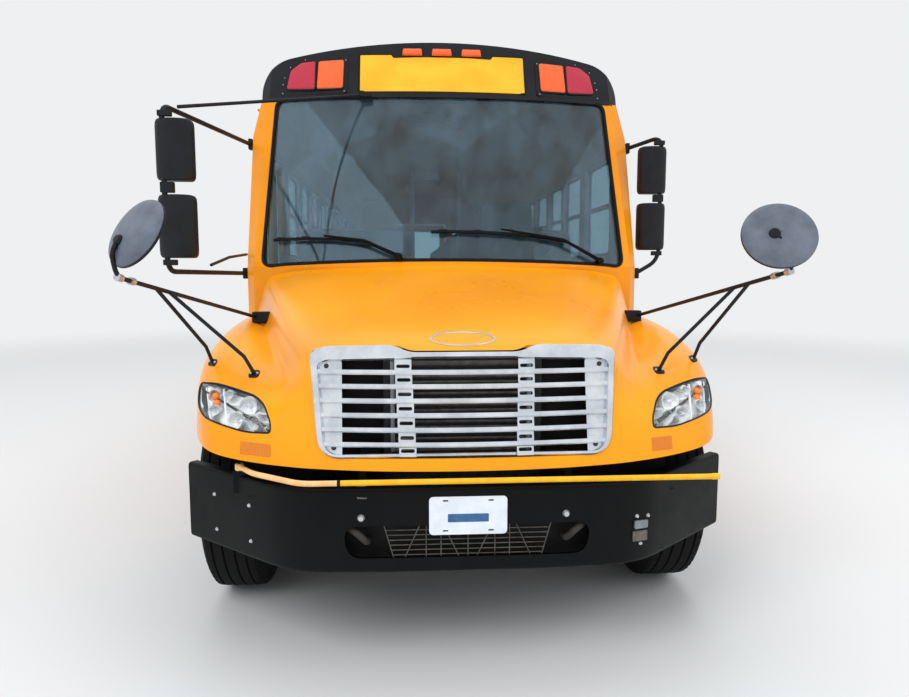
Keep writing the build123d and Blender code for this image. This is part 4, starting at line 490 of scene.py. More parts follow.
def slab(form, outline, place, low_lift, high_lift, bevel):
    """A plate over a surface, between two lifts from it, with its outer edge bevelled."""
    loft(form, over(place, ((outline, low_lift), (outline, high_lift - bevel),
                            (shrunk(outline, bevel), high_lift))))


def frame_band(form, outer, inner, place, low_lift, high_lift, bevel):
    """A closed band between two outlines of equal count over a surface."""
    loft(form, over(place, ((outer, low_lift), (outer, high_lift - bevel), (shrunk(outer, bevel), high_lift),
                            (shrunk(inner, -bevel), high_lift), (inner, high_lift - bevel),
                            (inner, low_lift))), True)


def crowned_lens(form, outline, place, base, rise, rim):
    """A lens plate with a soft crown."""
    loft(form, over(place, ((outline, base), (outline, base + rise * 0.45),
                            (shrunk(outline, rim * 0.4), base + rise * 0.85),
                            (shrunk(outline, rim), base + rise))))


def block(form, x, y, z, bevel=2.0):
    """A box from three pairs of limits, with bevelled edges."""
    made = bmesh.ops.create_cube(form, size=1.0)["verts"]
    pairs = [sorted(pair) for pair in (x, y, z)]
    for vert in made:
        vert.co = Vector([(first + last) / 2 + share * (last - first)
                          for (first, last), share in zip(pairs, vert.co)])
    edges = list(dict.fromkeys(edge for vert in made for edge in vert.link_edges))
    bmesh.ops.bevel(form, geom=edges, offset=bevel, segments=2, profile=0.6, affect="EDGES")


# Surfaces that pieces sit on. A placing function turns two places on a surface and a lift into a point.
SKINS = {}
BODY_SIDE = 1219.0


def skin(name):
    """Search tree over a CAD node's faces, in millimetres."""
    if name not in SKINS:
        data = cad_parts[name].data
        SKINS[name] = BVHTree.FromPolygons([vert.co / MM for vert in data.vertices],
                                           [face.vertices[:] for face in data.polygons])
    return SKINS[name]


def seen_along(tree, way, far, near):
    """Placing function over a search tree, seen along X or Y from far away; a miss takes what is nearest."""
    def place(along, height, lift):
        base = Vector((0, along, height)) if way.x else Vector((along, 0, height))
        point, normal = tree.ray_cast(base - way * far, way)[:2]
        if point is None:
            point, normal = tree.find_nearest(base - way * near)[:2]
        return point + normal * (-lift if normal.dot(way) > 0 else lift)
    return place


def from_front(tree):
    """Placing function over a search tree seen from the front: across, height and lift."""
    return seen_along(tree, Vector((0, 1, 0)), 9000, -at(200))


def on_side(name, side):
    """Placing function over a node seen from one side: y, height and lift."""
    return seen_along(skin(name), Vector((-side, 0, 0)), 3000, BODY_SIDE)


def upright(y, facing=-1):
    """Placing function over a flat plane across the bus."""
    return lambda across, height, lift: Vector((across, y + facing * lift, height))


def lifted(place, lift):
    """The same placing with its lifts counted from a higher level."""
    return lambda u, v, more: place(u, v, lift + more)


def bolt_row(points, place):
    """Places and facings of bolts on a surface."""
    return [(place(u, v, 0), place(u, v, 20) - place(u, v, 0)) for u, v in points]


# Repeated fasteners

def fastener_tree(material):
    """Geometry Nodes that stand a tapered head on each point, along its facing."""
    tree = bpy.data.node_groups.new("fastener_heads", "GeometryNodeTree")
    tree.is_modifier = True
    sockets = {}
    for name, kind in (("Geometry", "Geometry"), ("Sides", "Int"), ("Radius", "Float"),
                       ("Top Radius", "Float"), ("Height", "Float")):
        socket = tree.interface.new_socket(name, in_out="INPUT", socket_type="NodeSocket" + kind)
        sockets[name] = socket.identifier
    tree.interface.new_socket("Geometry", in_out="OUTPUT", socket_type="NodeSocketGeometry")
    given = tree.nodes.new("NodeGroupInput").outputs
    head = node(tree, "GeometryNodeMeshCone", {"Vertices": given["Sides"], "Radius Top": given["Top Radius"],
                                               "Radius Bottom": given["Radius"], "Depth": given["Height"]})
    facing = node(tree, "GeometryNodeInputNamedAttribute", {"Name": "facing"}, data_type="FLOAT_VECTOR")
    turn = node(tree, "FunctionNodeAlignRotationToVector", {"Vector": facing}, axis="Z")
    stood = node(tree, "GeometryNodeInstanceOnPoints",
                 {"Points": given["Geometry"], "Instance": head, "Rotation": turn})
    real = node(tree, "GeometryNodeRealizeInstances", {"Geometry": stood})
    painted = node(tree, "GeometryNodeSetMaterial", {"Geometry": real, "Material": material})
    feed(tree, tree.nodes.new("NodeGroupOutput"), {"Geometry": painted})
    return tree, sockets


def fasteners(name, places, sides, radius, top_radius, height, material, body):
    """Bolt or rivet heads at (point, facing) places."""
    data = bpy.data.meshes.new(name)
    data.from_pydata([Vector(point) * MM for point, facing in places], [], [])
    facings = data.attributes.new("facing", "FLOAT_VECTOR", "POINT")
    for item, (point, facing) in zip(facings.data, places):
        item.vector = Vector(facing).normalized()
    holder = add_object(name, data)
    tree, sockets = fastener_tree(material)
    modifier = modify(holder, "heads", "NODES", node_group=tree)
    for key, value in (("Sides", sides), ("Radius", radius * MM), ("Top Radius", top_radius * MM),
                       ("Height", height * MM)):
        modifier[sockets[key]] = value
    plain = evaluated(holder)
    holder.modifiers.clear()
    holder.data = plain
    plain.name = name
    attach(holder, body)


# Tyres
TYRE_RADIUS = (high("tyre_front_left").z - low("tyre_front_left").z) / 2
TYRE_WIDTH = high("tyre_front_left").x - low("tyre_front_left").x
FRONT_TRACK = middle("tyre_front_left").x
DUAL_SPACING = 320.0
BEAD_RADIUS = 287.0
GROOVE_DEPTH = 13.0
GROOVE_PLACES = (-74.0, -26.0, 26.0, 74.0)
GROOVE_WIDTH = 9.0
TYRE_STEPS = 240
SHOULDER_NOTCH = 5.0


def tyre_profile(notched):
    """Closed profile of a ribbed tyre, from bead to bead over the tread and back inside."""
    half = TYRE_WIDTH / 2
    wall_notch, tread_notch = (4, SHOULDER_NOTCH) if notched else (0, 0)
    outer = [(104, BEAD_RADIUS), (112, BEAD_RADIUS + 10), (128, 330), (half - 3, 372), (half, 400),
             (half - 1, 408), (half + 1, 414), (half + 1, 420), (half - 2, 426), (half - 5, 455),
             (half - 12, 480), (half - 20, 500 - wall_notch), (106, TYRE_RADIUS - 5 - tread_notch)]
    tread = []
    for place in reversed(GROOVE_PLACES):
        edge, floor = TYRE_RADIUS - abs(place) / 40, TYRE_RADIUS - GROOVE_DEPTH
        tread += [(place + GROOVE_WIDTH / 2, edge), (place + GROOVE_WIDTH / 2 - 2, floor),
                  (place - GROOVE_WIDTH / 2 + 2, floor), (place - GROOVE_WIDTH / 2, edge)]
    inside = [(-86, BEAD_RADIUS), (-116, 400), (-92, 492), (92, 492), (116, 400), (86, BEAD_RADIUS)]
    return outer + tread + [(-along, radius) for along, radius in reversed(outer)] + inside


def round_hub(x, hub, radius, angle):
    """Point at a place across and an angle round a hub's (y, z) centre."""
    return Vector((x, hub[0] + radius * math.cos(angle), hub[1] + radius * math.sin(angle)))


def tyre(name, node_name, body, centres):
    """Ribbed tyres of one hub, in place of their plain rings."""
    form = bmesh.new()
    hub = middle(node_name).yz
    plain, notched = tyre_profile(False), tyre_profile(True)
    for centre in centres:
        loft(form, [[round_hub(centre + along, hub, radius, angle)
                     for along, radius in (plain if step % 4 else notched)]
                    for step, angle in enumerate(turns(TYRE_STEPS))], joined=True)
    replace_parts(piece(name, form, tyre_rubber, body, "tyre", 40), node_name)


for side, label in SIDES[::-1]:
    tyre("ribbed_tyre_front_" + label, "tyre_front_" + label, "wheel_front_" + label, [side * FRONT_TRACK])
    tyre("ribbed_tyres_rear_" + label, "tyres_rear_" + label, "wheel_rear_" + label,
         [side * FRONT_TRACK, side * (FRONT_TRACK - DUAL_SPACING)])

# Bowed front face of the body, which carries windscreen, cap, lamps and sign. Pairs go with the two heights.
FACE_Z = (1640.0, 2712.0)
FACE_MID = (1500.0, 1955.0)
FACE_CORNER = (1740.0, 2100.0)
FACE_TURN = (1165.0, 1112.0)


def face_point(across, height):
    """Point on the bowed face at a place across and a height."""
    share = (height - FACE_Z[0]) / (FACE_Z[1] - FACE_Z[0])
    mid, corner, turn = [pair[0] + share * (pair[1] - pair[0]) for pair in (FACE_MID, FACE_CORNER, FACE_TURN)]
    sagitta = corner - mid
    radius = (turn ** 2 + sagitta ** 2) / (2 * sagitta)
    reach = max(-turn, min(turn, across))
    beyond = abs(across) - abs(reach)
    return Vector((across, at(mid + radius - math.sqrt(radius ** 2 - reach ** 2) + beyond), height))


def on_face(across, height, lift):
    """Point at a lift from the bowed face."""
    point = face_point(across, height)
    beside, above = face_point(across + 4, height) - point, face_point(across, height + 4) - point
    normal = beside.cross(above).normalized()
    return point + normal * (lift if normal.y < 0 else -lift)


# Rubber gasket that holds the windscreen in its opening, whose foot bows upwards
SCREEN_HALVES = (1112, 1062)
SCREEN_Z = (1642, 2708)
SCREEN_BOW = 34
form = bmesh.new()
screen_foot = [Vector((SCREEN_HALVES[0] * share, SCREEN_Z[0] + SCREEN_BOW * (1 - share ** 2)))
               for share in (step / 8 - 1 for step in range(17))]
screen_top = [(SCREEN_HALVES[1], SCREEN_Z[1]), (-SCREEN_HALVES[1], SCREEN_Z[1])]
opening = round_corners([screen_foot[-1]] + screen_top + [screen_foot[0]], 62) + screen_foot[1:-1]
frame_band(form, shrunk(opening, -7), shrunk(opening, 12), on_face, -10, 5, 3)
piece("windscreen_gasket", form, gasket_rubber, "body", "black_plastic")

# Wipers: the bend of the arm, then the blade's two ends and middle, across and height
WIPERS = (("left_hand", (-480, 1778), ((-1034, 1795), (-720, 1812), (-446, 1776))),
          ("right_hand", (700, 1790), ((-92, 1838), (322, 1850), (733, 1788))))
BLADE_STEPS = 12
for pivot, (label, bend, blade) in zip(WIPER_PIVOTS, WIPERS):
    form = bmesh.new()
    seat = on_face(*pivot, 0)
    turned(form, seat, on_face(*pivot, 40) - seat, ((0, 22), (26, 22), (30, 13.2)), 20)
    for spread in (-1, 1):
        tube(form, [on_face(pivot[0], pivot[1] + 7 * spread, 24), on_face(bend[0], bend[1] + 4 * spread, 34),
                    on_face(*blade[1], 30)], 6)
    piece("wiper_arm_" + label, form, black_enamel, "body", "black_steel")
    form = bmesh.new()
    path = []
    for step in range(BLADE_STEPS + 1):
        first, last = [Vector(blade[end]).lerp(Vector(blade[end + 1]), step / BLADE_STEPS) for end in (0, 1)]
        path.append(first.lerp(last, step / BLADE_STEPS))
    ups = [on_face(*point, 40) - on_face(*point, 0) for point in path]
    for lift, width, height in ((-4, 6, 16), (12, 16, 7)):
        ribbon(form, [on_face(*point, lift) for point in path], ups, width, height)
    for share in (0.12, 0.35, 0.65, 0.88):
        centre = on_face(*path[round(share * BLADE_STEPS)], 20)
        ribbon(form, [centre - Vector((24, 0, 0)), centre + Vector((24, 0, 0))], [ups[0], ups[0]], 20, 6)
    piece("wiper_blade_" + label, form, gasket_rubber, "body", "black_plastic")

# Warning lamps of the cap: lens outlines seen from the front for the left side, inner top corner first
AMBER_LENS = ((628, 2955), (792, 2948), (798, 2760), (632, 2762))
RED_LENS = ((812, 2950), (905, 2940), (972, 2888), (994, 2765), (812, 2759))
LAMP_BOX = ((604, 2985), (900, 2975), (1000, 2915), (1030, 2820), (1036, 2722), (604, 2728))
# Shares along a housing's edge where its screws sit
SCREW_SHARES = (0.02, 0.2, 0.36, 0.5, 0.62, 0.76, 0.9)
MARKERS = (-192.0, -4.0, 186.0)
MARKER_RAIL = ((-318, 2972), (318, 2972), (300, 3034), (-300, 3034))
REAR_FACE = high("rear_wall").y
REAR_TOP = 2700
REAR_LAMPS = (690, 900)
ROUND_LAMPS = (1330, 1120)
ROUND_RADIUS = 88
on_rear = upright(REAR_FACE, 1)
red_form, amber_form, box_form = bmesh.new(), bmesh.new(), bmesh.new()
box_screws = []
for side in (-1, 1):
    shell = round_corners(mirrored(LAMP_BOX, side), 30)
    slab(box_form, shell, on_face, -2, 9, 4)
    for form, outline in ((red_form, RED_LENS), (amber_form, AMBER_LENS)):
        edge = round_corners(mirrored(outline, side), 16)
        frame_band(box_form, shrunk(edge, -9), edge, on_face, 8, 14, 3)
        crowned_lens(form, edge, on_face, 8, 12, 10)
    line = shrunk(shell, 13)
    box_screws += bolt_row([line[int(share * len(line))] for share in SCREW_SHARES], lifted(on_face, 9))
slab(box_form, round_corners(MARKER_RAIL, 14), on_face, -3, 12, 4)
for x in MARKERS:
    edge = round_corners(((x - 64, 2982), (x + 64, 2982), (x + 60, 3026), (x - 60, 3026)), 8)
    crowned_lens(amber_form, edge, on_face, 11, 14, 7)
for side in (-1, 1):
    for form, across in ((amber_form, REAR_LAMPS[0]), (red_form, REAR_LAMPS[1])):
        edge = rounded(178, 168, 22, (side * across, REAR_TOP))
        frame_band(box_form, shrunk(edge, -12), edge, on_rear, 0, 9, 3)
        crowned_lens(form, edge, on_rear, 2, 11, 10)
    for form, height in ((red_form, ROUND_LAMPS[0]), (amber_form, ROUND_LAMPS[1])):
        edge = ellipse((side * 860, height), ROUND_RADIUS, ROUND_RADIUS, 40)
        frame_band(box_form, shrunk(edge, -14), edge, on_rear, 0, 10, 4)
        crowned_lens(form, edge, on_rear, 2, 12, 14)
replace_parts(piece("red_warning_lenses", red_form, red_lens, "body", "lamp_lens"), "body_lamps")
piece("amber_warning_lenses", amber_form, amber_lens, "body", "lamp_lens")
piece("lamp_housings", box_form, cap_black, "body", "cap_black")
fasteners("lamp_housing_screws", box_screws, 8, 4.5, 3.0, 3.0, zinc, "body")

# Blank sign boards, front and rear, each with a thin raised edge
SIGN = ((-530, 2742), (530, 2742), (530, 2996), (322, 2996), (312, 2976), (-312, 2976), (-322, 2996),
        (-530, 2996))


def bowed_plate(form, half, low_z, high_z, low_lift, high_lift, columns):
    """A plate that follows the bowed face: its top height comes from a function of the place across."""
    loops = []
    for column in range(columns + 1):
        x = -half + 2 * half * column / columns
        top = high_z(x)
        section = ((low_z, low_lift), (top, low_lift), (top, high_lift), ((top + low_z) / 2, high_lift),
                   (low_z, high_lift))
        loops.append([on_face(x, z, lift) for z, lift in section])
    loft(form, loops)


form = bmesh.new()
bowed_plate(form, 530, 2742, lambda across: 2976 if abs(across) < 316 else 2996, -2, 4, 53)
rear_sign = rounded(1060, 220, 10, (0, REAR_TOP))
slab(form, rear_sign, on_rear, 0, 4, 1.5)
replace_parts(piece("blank_sign_boards", form, sign_sheet, "body", "sign_yellow"), "sign_panels")
form = bmesh.new()
edge = round_corners(SIGN, 8, 3)
frame_band(form, shrunk(edge, -5), shrunk(edge, 5), on_face, 0, 6.5, 1.5)
frame_band(form, shrunk(rear_sign, -5), shrunk(rear_sign, 5), on_rear, 0, 6, 1.5)
piece("sign_edging", form, gasket_rubber, "body", "black_plastic")

# Hood: a moulded skin drawn over a net of lines that run from the lip over the nose to the cowl.
# Each row is one line from the middle outwards: across, station and height at ten places along it.
HOOD_LINES = (
    ((0, 33, 830), (0, 44, 866), (0, 72, 960), (0, 122, 1130), (0, 160, 1246),
     (0, 300, 1338), (0, 600, 1420), (0, 1000, 1532), (0, 1300, 1616), (0, 1485, 1667)),
    ((345, 50, 832), (345, 61, 868), (345, 90, 962), (345, 140, 1132), (347, 182, 1262),
     (375, 330, 1348), (455, 600, 1420), (617, 1000, 1500), (778, 1400, 1578), (868, 1600, 1617)),
    ((480, 66, 835), (480, 77, 872), (480, 106, 965), (482, 158, 1135), (492, 205, 1256),
     (540, 340, 1324), (615, 600, 1376), (754, 1000, 1460), (893, 1400, 1546), (985, 1655, 1602)),
    ((615, 86, 838), (615, 97, 875), (617, 124, 968), (622, 176, 1125), (636, 240, 1222),
     (685, 360, 1276), (774, 600, 1333), (891, 1000, 1424), (1008, 1400, 1514), (1092, 1695, 1574)),
    ((690, 100, 842), (690, 111, 878), (696, 138, 970), (708, 200, 1075), (726, 300, 1132),
     (756, 410, 1164), (822, 600, 1204), (934, 1000, 1272), (1050, 1400, 1330), (1140, 1720, 1372)),
    ((840, 138, 850), (840, 148, 886), (843, 172, 970), (852, 250, 1060), (866, 360, 1125),
     (885, 480, 1178), (915, 640, 1236), (1000, 1000, 1326), (1095, 1400, 1358), (1168, 1735, 1358)),
    ((1008, 186, 872), (1009, 196, 902), (1014, 222, 978), (1027, 296, 1070), (1044, 392, 1137),
     (1062, 508, 1198), (1086, 656, 1253), (1121, 1000, 1330), (1157, 1400, 1348), (1192, 1760, 1345)),
    ((1086, 258, 893), (1089, 266, 920), (1098, 296, 985), (1117, 370, 1066), (1138, 462, 1128),
     (1156, 572, 1184), (1173, 704, 1232), (1191, 1000, 1288), (1201, 1400, 1302), (1211, 1785, 1300)),
    ((1138, 392, 908), (1142, 400, 930), (1150, 430, 978), (1166, 488, 1038), (1182, 562, 1086),
     (1195, 648, 1125), (1206, 745, 1156), (1214, 1000, 1190), (1217, 1400, 1200), (1219, 1795, 1200)),
    ((1184, 540, 904), (1187, 550, 918), (1192, 586, 944), (1199, 645, 972), (1206, 710, 994),
     (1212, 775, 1008), (1217, 838, 1020), (1222, 1010, 1030), (1223, 1400, 1035), (1223, 1800, 1040)),
    ((1206, 640, 836), (1208, 660, 836), (1211, 700, 836), (1215, 760, 836), (1218, 820, 836),
     (1221, 880, 836), (1223, 940, 836), (1224, 1060, 836), (1224, 1400, 836), (1224, 1800, 836)),
)
HOOD_CREASE_LINES = ((1, 0.35), (3, 0.15), (4, 0.25))
HOOD_SKIN = 11.0
ARCH_CENTRE = middle("wheel_front_left").yz
ARCH_RADIUS = 630.0
LAMP_OUTLINE = ((1140, 1128), (1062, 1136), (985, 1124), (864, 1096), (818, 1068), (782, 1005), (780, 962),
                (888, 962), (1000, 986), (1090, 1006), (1138, 1040), (1150, 1092))
GRILLE_OUTER = ((-588, 877), (588, 877), (630, 1290), (560, 1309), (292, 1315), (226, 1286), (-226, 1286),
                (-292, 1315), (-560, 1309), (-630, 1290))


def applied_form(made):
    """The form of an object with its modifiers applied; the object is then removed."""
    data = evaluated(made)
    form = bmesh.new()
    form.from_mesh(data)
    bpy.data.meshes.remove(data)
    bpy.data.objects.remove(made)
    return form


def cutter_between(name, loops):
    """A closed cutter between two loops of points."""
    form = bmesh.new()
    loft(form, loops)
    bmesh.ops.recalc_face_normals(form, faces=form.faces)
    return plain_object(name, form)


def prism(name, outline, near, far):
    """A closed prism from an outline seen from the front, between two values of y."""
    return cutter_between(name, [[Vector((point[0], y, point[1])) for point in outline] for y in (near, far)])


def cut_by(made, cutters):
    """The form of an object with prisms cut out of it; they are then removed."""
    for cutter in cutters:
        modify(made, "cut_" + cutter.name, "BOOLEAN", operation="DIFFERENCE", solver="EXACT", object=cutter)
    form = applied_form(made)
    for cutter in cutters:
        bpy.data.objects.remove(cutter)
    return form


def hood_net():
    """The hood's net of lines on both sides, as an object with soft creases."""
    form = bmesh.new()
    crease_layer = form.edges.layers.float.new("crease_edge")
    columns = [[(-x, station, z) for x, station, z in line] for line in HOOD_LINES[:0:-1]] + list(HOOD_LINES)
    rows = [[form.verts.new((x, at(station), z)) for x, station, z in line] for line in columns]
    for near, far in zip(rows, rows[1:]):
        for place in range(len(near) - 1):
            form.faces.new((near[place], far[place], far[place + 1], near[place + 1]))
    centre = len(HOOD_LINES) - 1
    for offset, weight in HOOD_CREASE_LINES:
        for line in (rows[centre - offset], rows[centre + offset]):
            for near, far in zip(line[3:], line[4:]):
                form.edges.get((near, far))[crease_layer] = weight
    made = plain_object("hood_net", form)
    modify(made, "smooth", "SUBSURF", levels=3, render_levels=3, boundary_smooth="ALL")
    return made


def painted_object(name, form):
    """A helper object with the hood's outer and inner finishes."""
    made = plain_object(name, form)
    for finish in (hood_enamel, raw_fibre):
        made.data.materials.append(finish)
    return made


smooth_form = applied_form(hood_net())
bmesh.ops.recalc_face_normals(smooth_form, faces=smooth_form.faces)
if max(smooth_form.faces, key=lambda face: face.calc_center_median().z).normal.z < 0:
    bmesh.ops.reverse_faces(smooth_form, faces=smooth_form.faces)
on_hood = from_front(BVHTree.FromBMesh(smooth_form))
hood_skin = painted_object("hood_skin", smooth_form)
modify(hood_skin, "wall", "SOLIDIFY", thickness=HOOD_SKIN, offset=-1.0, use_even_offset=True,
       material_offset=1)
walled = painted_object("hood_wall", applied_form(hood_skin))
arch_edge = ellipse(ARCH_CENTRE, ARCH_RADIUS, ARCH_RADIUS, 96)
cutters = [cutter_between("arch_cutter", [[point.to_3d().zxy + Vector((x, 0, 0)) for point in arch_edge]
                                          for x in (-1400, 1400)]),
           prism("grille_cutter", round_corners(GRILLE_OUTER, 90), at(-200), at(262))]
for side in (-1, 1):
    edge = round_corners(mirrored(LAMP_OUTLINE, side), 40)
    cutters.append(prism("lamp_cutter_%d" % side, edge, at(-100), at(640)))
hood_piece = piece("moulded_hood", cut_by(walled, cutters), hood_enamel, "hood", "bus_yellow", 38)
hood_piece.data.materials.append(raw_fibre)
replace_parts(hood_piece, "hood")

# Inner liners of the wheel arches: place across and lift from the arch at each corner of their section
LINER_SECTION = ((740, 6), (1140, 6), (1140, -2), (740, -2))
LINER_ANGLES = [math.radians(29 + 122 * step / 40) for step in range(41)]
for side, label in SIDES:
    form = bmesh.new()
    loft(form, [[round_hub(side * x, ARCH_CENTRE, ARCH_RADIUS + lift, angle) for x, lift in LINER_SECTION]
                for angle in LINER_ANGLES])
    piece("arch_liner_" + label, form, black_abs, "hood", "black_plastic")

# Grille: surround, six bright slats, two ladder strips with slots, and end plates with screws
GRILLE_INNER = ((-562, 894), (562, 894), (594, 1236), (560, 1252), (290, 1259), (205, 1265), (-205, 1265),
                (-290, 1259), (-560, 1252), (-594, 1236))
NOSE_LEAN = 0.30
NOSE_BOW = 150
NOSE_HALF = 1030
SLAT_SECTION = ((2, 10), (4, 6), (4, -5), (0, -9), (-24, -6), (-24, 8))
SLAT_HEIGHTS = [1207.0 - 55.4 * row for row in range(6)]
LADDER_X = (253.0, 232.0)
LADDER_HALF = 34.0
SLOT_HALF = 27.0
SLOT_RISE = 6.5
END_PLATE = ((500, 1254), (494, 886), (530, 886), (568, 920), (598, 1225), (575, 1256))
GRILLE_SCREWS = ((563, 1233), (528, 918))


def on_nose(across, height, lift):
    """Point at a lift from the bow of the nose, which carries the grille."""
    station = 33 + (height - 832) * NOSE_LEAN + NOSE_BOW * (across / NOSE_HALF) ** 2
    slope = Vector((-2 * NOSE_BOW * across / NOSE_HALF ** 2, 1, -NOSE_LEAN)).normalized()
    return Vector((across, at(station), height)) - slope * lift


def opening_half(height):
    """Half the width of the grille's opening at a height."""
    pinch = 60 * (1 - (height - 890) / 60) ** 2 if height < 950 else 0
    return 568 + 32 * (height - 890) / (1225 - 890) - pinch


def slotted_strip(form, low_z, high_z, centre):
    """A flat panel of the ladder strip with one capsule slot cut through it."""
    middle_z = (low_z + high_z) / 2
    slot = rounded(2 * SLOT_HALF, 2 * SLOT_RISE, SLOT_RISE - 0.1, (centre, middle_z), 4)
    panel = []
    for u, v in slot:
        across = LADDER_HALF if u > centre else -LADDER_HALF
        rise = (high_z - middle_z) if v > middle_z else (low_z - middle_z)
        flat = abs(u - centre) / SLOT_HALF
        panel.append((centre + across * (1 if flat > 0.9 else flat),
                      middle_z + rise * (1 if flat <= 0.98 else 0.9)))
    frame_band(form, panel, slot, lifted(on_nose, -6), -4, 0, 1)


form = bmesh.new()
outer = round_corners(GRILLE_OUTER, 90, 8)
inner = round_corners(GRILLE_INNER, 60, 8)
loft(form, over(on_nose, ((outer, -16), (shrunk(outer, 0.5), 5), (shrunk(outer, 6), 11),
                          (shrunk(inner, -12), 12), (shrunk(inner, -3), 8), (inner, 0), (inner, -26),
                          (shrunk(outer, 6), -20))), joined=True)
for height in SLAT_HEIGHTS:
    half = opening_half(height)
    loft(form, [[on_nose(-half + 2 * half * step / 24, height + rise, lift) for lift, rise in SLAT_SECTION]
                for step in range(25)])
gaps = [1258] + SLAT_HEIGHTS + [888]
for side in (-1, 1):
    for high_z, low_z in zip(gaps, gaps[1:]):
        share = ((high_z + low_z) / 2 - 880) / 380
        slotted_strip(form, low_z - 2, high_z + 2, side * (LADDER_X[1] + (LADDER_X[0] - LADDER_X[1]) * share))
    slab(form, round_corners(mirrored(END_PLATE, side), 8, 2), lifted(on_nose, -12), -4, 0, 1)
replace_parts(piece("chromed_grille", form, chrome, "hood", "grille_chrome", 30), "grille")
screws = bolt_row(mirrored(GRILLE_SCREWS, -1) + list(GRILLE_SCREWS), lifted(on_nose, -10))
fasteners("grille_screws", screws, 12, 10, 7, 9, cast_iron, "hood")

# Headlamps: tub, bright reflectors, amber turn unit behind its own divider, and a clear cover
# Bowls and bulbs have their place across, height and radius
BOWLS = ((893, 1052, 40), (862, 1000, 26), (935, 1006, 30), (1052, 1084, 26), (1040, 1030, 26),
         (985, 1088, 20))
BOWL_RINGS = ((-40, 1), (0, 1), (-6, 0.92), (-18, 0.7), (-30, 0.4), (-34, 0.18), (-8, 0.18), (-4, 0.05))
BULBS = ((1049, 1090, 18), (1038, 1066, 15))
BULB_RINGS = ((-20, 0.9), (-4, 1.0), (4, 0.8), (9, 0.35))
# Place across at a height of 988, lean across per unit of height, and the heights it passes
LAMP_DIVIDERS = ((971.0, 46 / 135, (984, 1030, 1080, 1122)), (1045.0, 54 / 103, (1000, 1035, 1070, 1116)))


def sized(rings, size):
    """Rings of a turned solid at a size."""
    return [(along, share * size) for along, share in rings]


for side, label in SIDES:
    edge = round_corners(mirrored(LAMP_OUTLINE, side), 40, 6)
    form = bmesh.new()
    loft(form, over(on_hood, [(shrunk(edge, inset), lift) for inset, lift in
                              ((0.5, 1), (4, 4), (7, 0), (9, -46), (11, -50), (3, -50))]), joined=True)
    piece("headlamp_bezel_" + label, form, black_abs, "hood", "black_plastic")
    form = bmesh.new()
    loft(form, over(on_hood, ((shrunk(edge, 8), -44), (shrunk(edge, 8), -48))))
    for across, height, size in BOWLS:
        base = on_hood(side * across, height, 0) + Vector((0, 16, 0))
        turned(form, base, (side * 0.15, -1, 0.05), sized(BOWL_RINGS, size), 26)
    for row in range(5):
        first, last = 806 + row * 8, 955 + row * 10
        line = [on_hood(side * across, 958 + row * 30, -38) for across in (first, (first + last) / 2, last)]
        ribbon(form, line, [Vector((0, -0.5, 1))] * 3, 14, 3)
    piece("headlamp_reflectors_" + label, form, lamp_chrome, "hood", "lamp_clear", 30)
    form = bmesh.new()
    for across, slope, levels in LAMP_DIVIDERS:
        points = [on_hood(side * (across + slope * (height - 988)), height, -20) for height in levels]
        ribbon(form, points, [Vector((0, -1, 0))] * 4, 6, 14)
    piece("headlamp_dividers_" + label, form, white_enamel, "hood", "lamp_clear")
    form = bmesh.new()
    for across, height, size in BULBS:
        turned(form, on_hood(side * across, height, -12), (0, -1, 0), sized(BULB_RINGS, size), 20)
    piece("amber_turn_bulbs_" + label, form, turn_lens, "hood", "lamp_lens")
    form = bmesh.new()
    pane = shrunk(edge, 5)
    loft(form, over(on_hood, ((pane, -5), (pane, -1), (shrunk(pane, 3), 0), (shrunk(pane, 26), 1))))
    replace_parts(piece("headlamp_cover_" + label, form, lamp_cover, "hood", "lamp_clear"), "headlamps")

# Front bumper: a formed channel swept along its plan, with one long opening for air and the tow hooks
BUMPER_PLAN = ((0, 0), (300, 0), (690, 20), (1200, 455))
BUMPER_EASES = (38.0, 143.0)
BUMPER_SECTION = ((0, 460), (2, 448), (8, 441), (16, 440), (45, 440), (45, 448), (14, 449), (9, 455),
                  (9, 760), (14, 766), (45, 767), (45, 775), (16, 775), (8, 774), (2, 768), (0, 757))
BUMPER_OPENING = ((488, 628), (-488, 628), (-470, 500), (470, 500))
REAR_BEAM_SECTION = ((0, 575), (3, 563), (10, 560), (30, 560), (30, 568), (10, 570), (8, 576), (8, 784),
                     (10, 790), (30, 792), (30, 800), (10, 800), (3, 797), (0, 785))
MESH_LEVELS = [507 + row * 20 for row in range(7)]
MESH_WIRE = 2.2
# Wires of the mesh that stand or lean: place across at the top, then at the foot
MESH_STAYS = ((0, 0), (106, 106), (164, 164), (100, 37), (186, 246), (330, 292))
HOOK_ROUTE = ((395, 90, 545), (395, 34, 552), (425, 20, 590), (462, 34, 612), (470, 60, 606))
BUMPER_BOLTS = ((-1058, 666), (-880, 663), (-1051, 514), (-876, 514), (684, 632), (738, 625), (704, 516))
# Shields round the radiator: limits across, of the station, and of the height
BAFFLES = [((-600, 600), (82, 85), (452, 700)), ((-880, 880), (170, 400), (700, 704)),
           ((-700, 700), (82, 172), (700, 704))]
BAFFLES += [(about(side * across, half), (331, 335), heights) for side in (-1, 1)
            for across, half, heights in ((470, 170, (700, 1248)), (770, 130, (560, 935)))]
BAFFLES += [((-300, 300), (331, 335), (1262, 1296))]
CONDENSER_X = (-296, 276)


def swept_section(form, path, section):
    """A section of (inward, height) points swept along a path in plan."""
    loops = []
    for before, point, after in with_neighbours(path):
        way = (after - before).normalized()
        loops.append([Vector((point.x - way.y * depth, point.y + way.x * depth, height))
                      for depth, height in section])
    loft(form, loops)


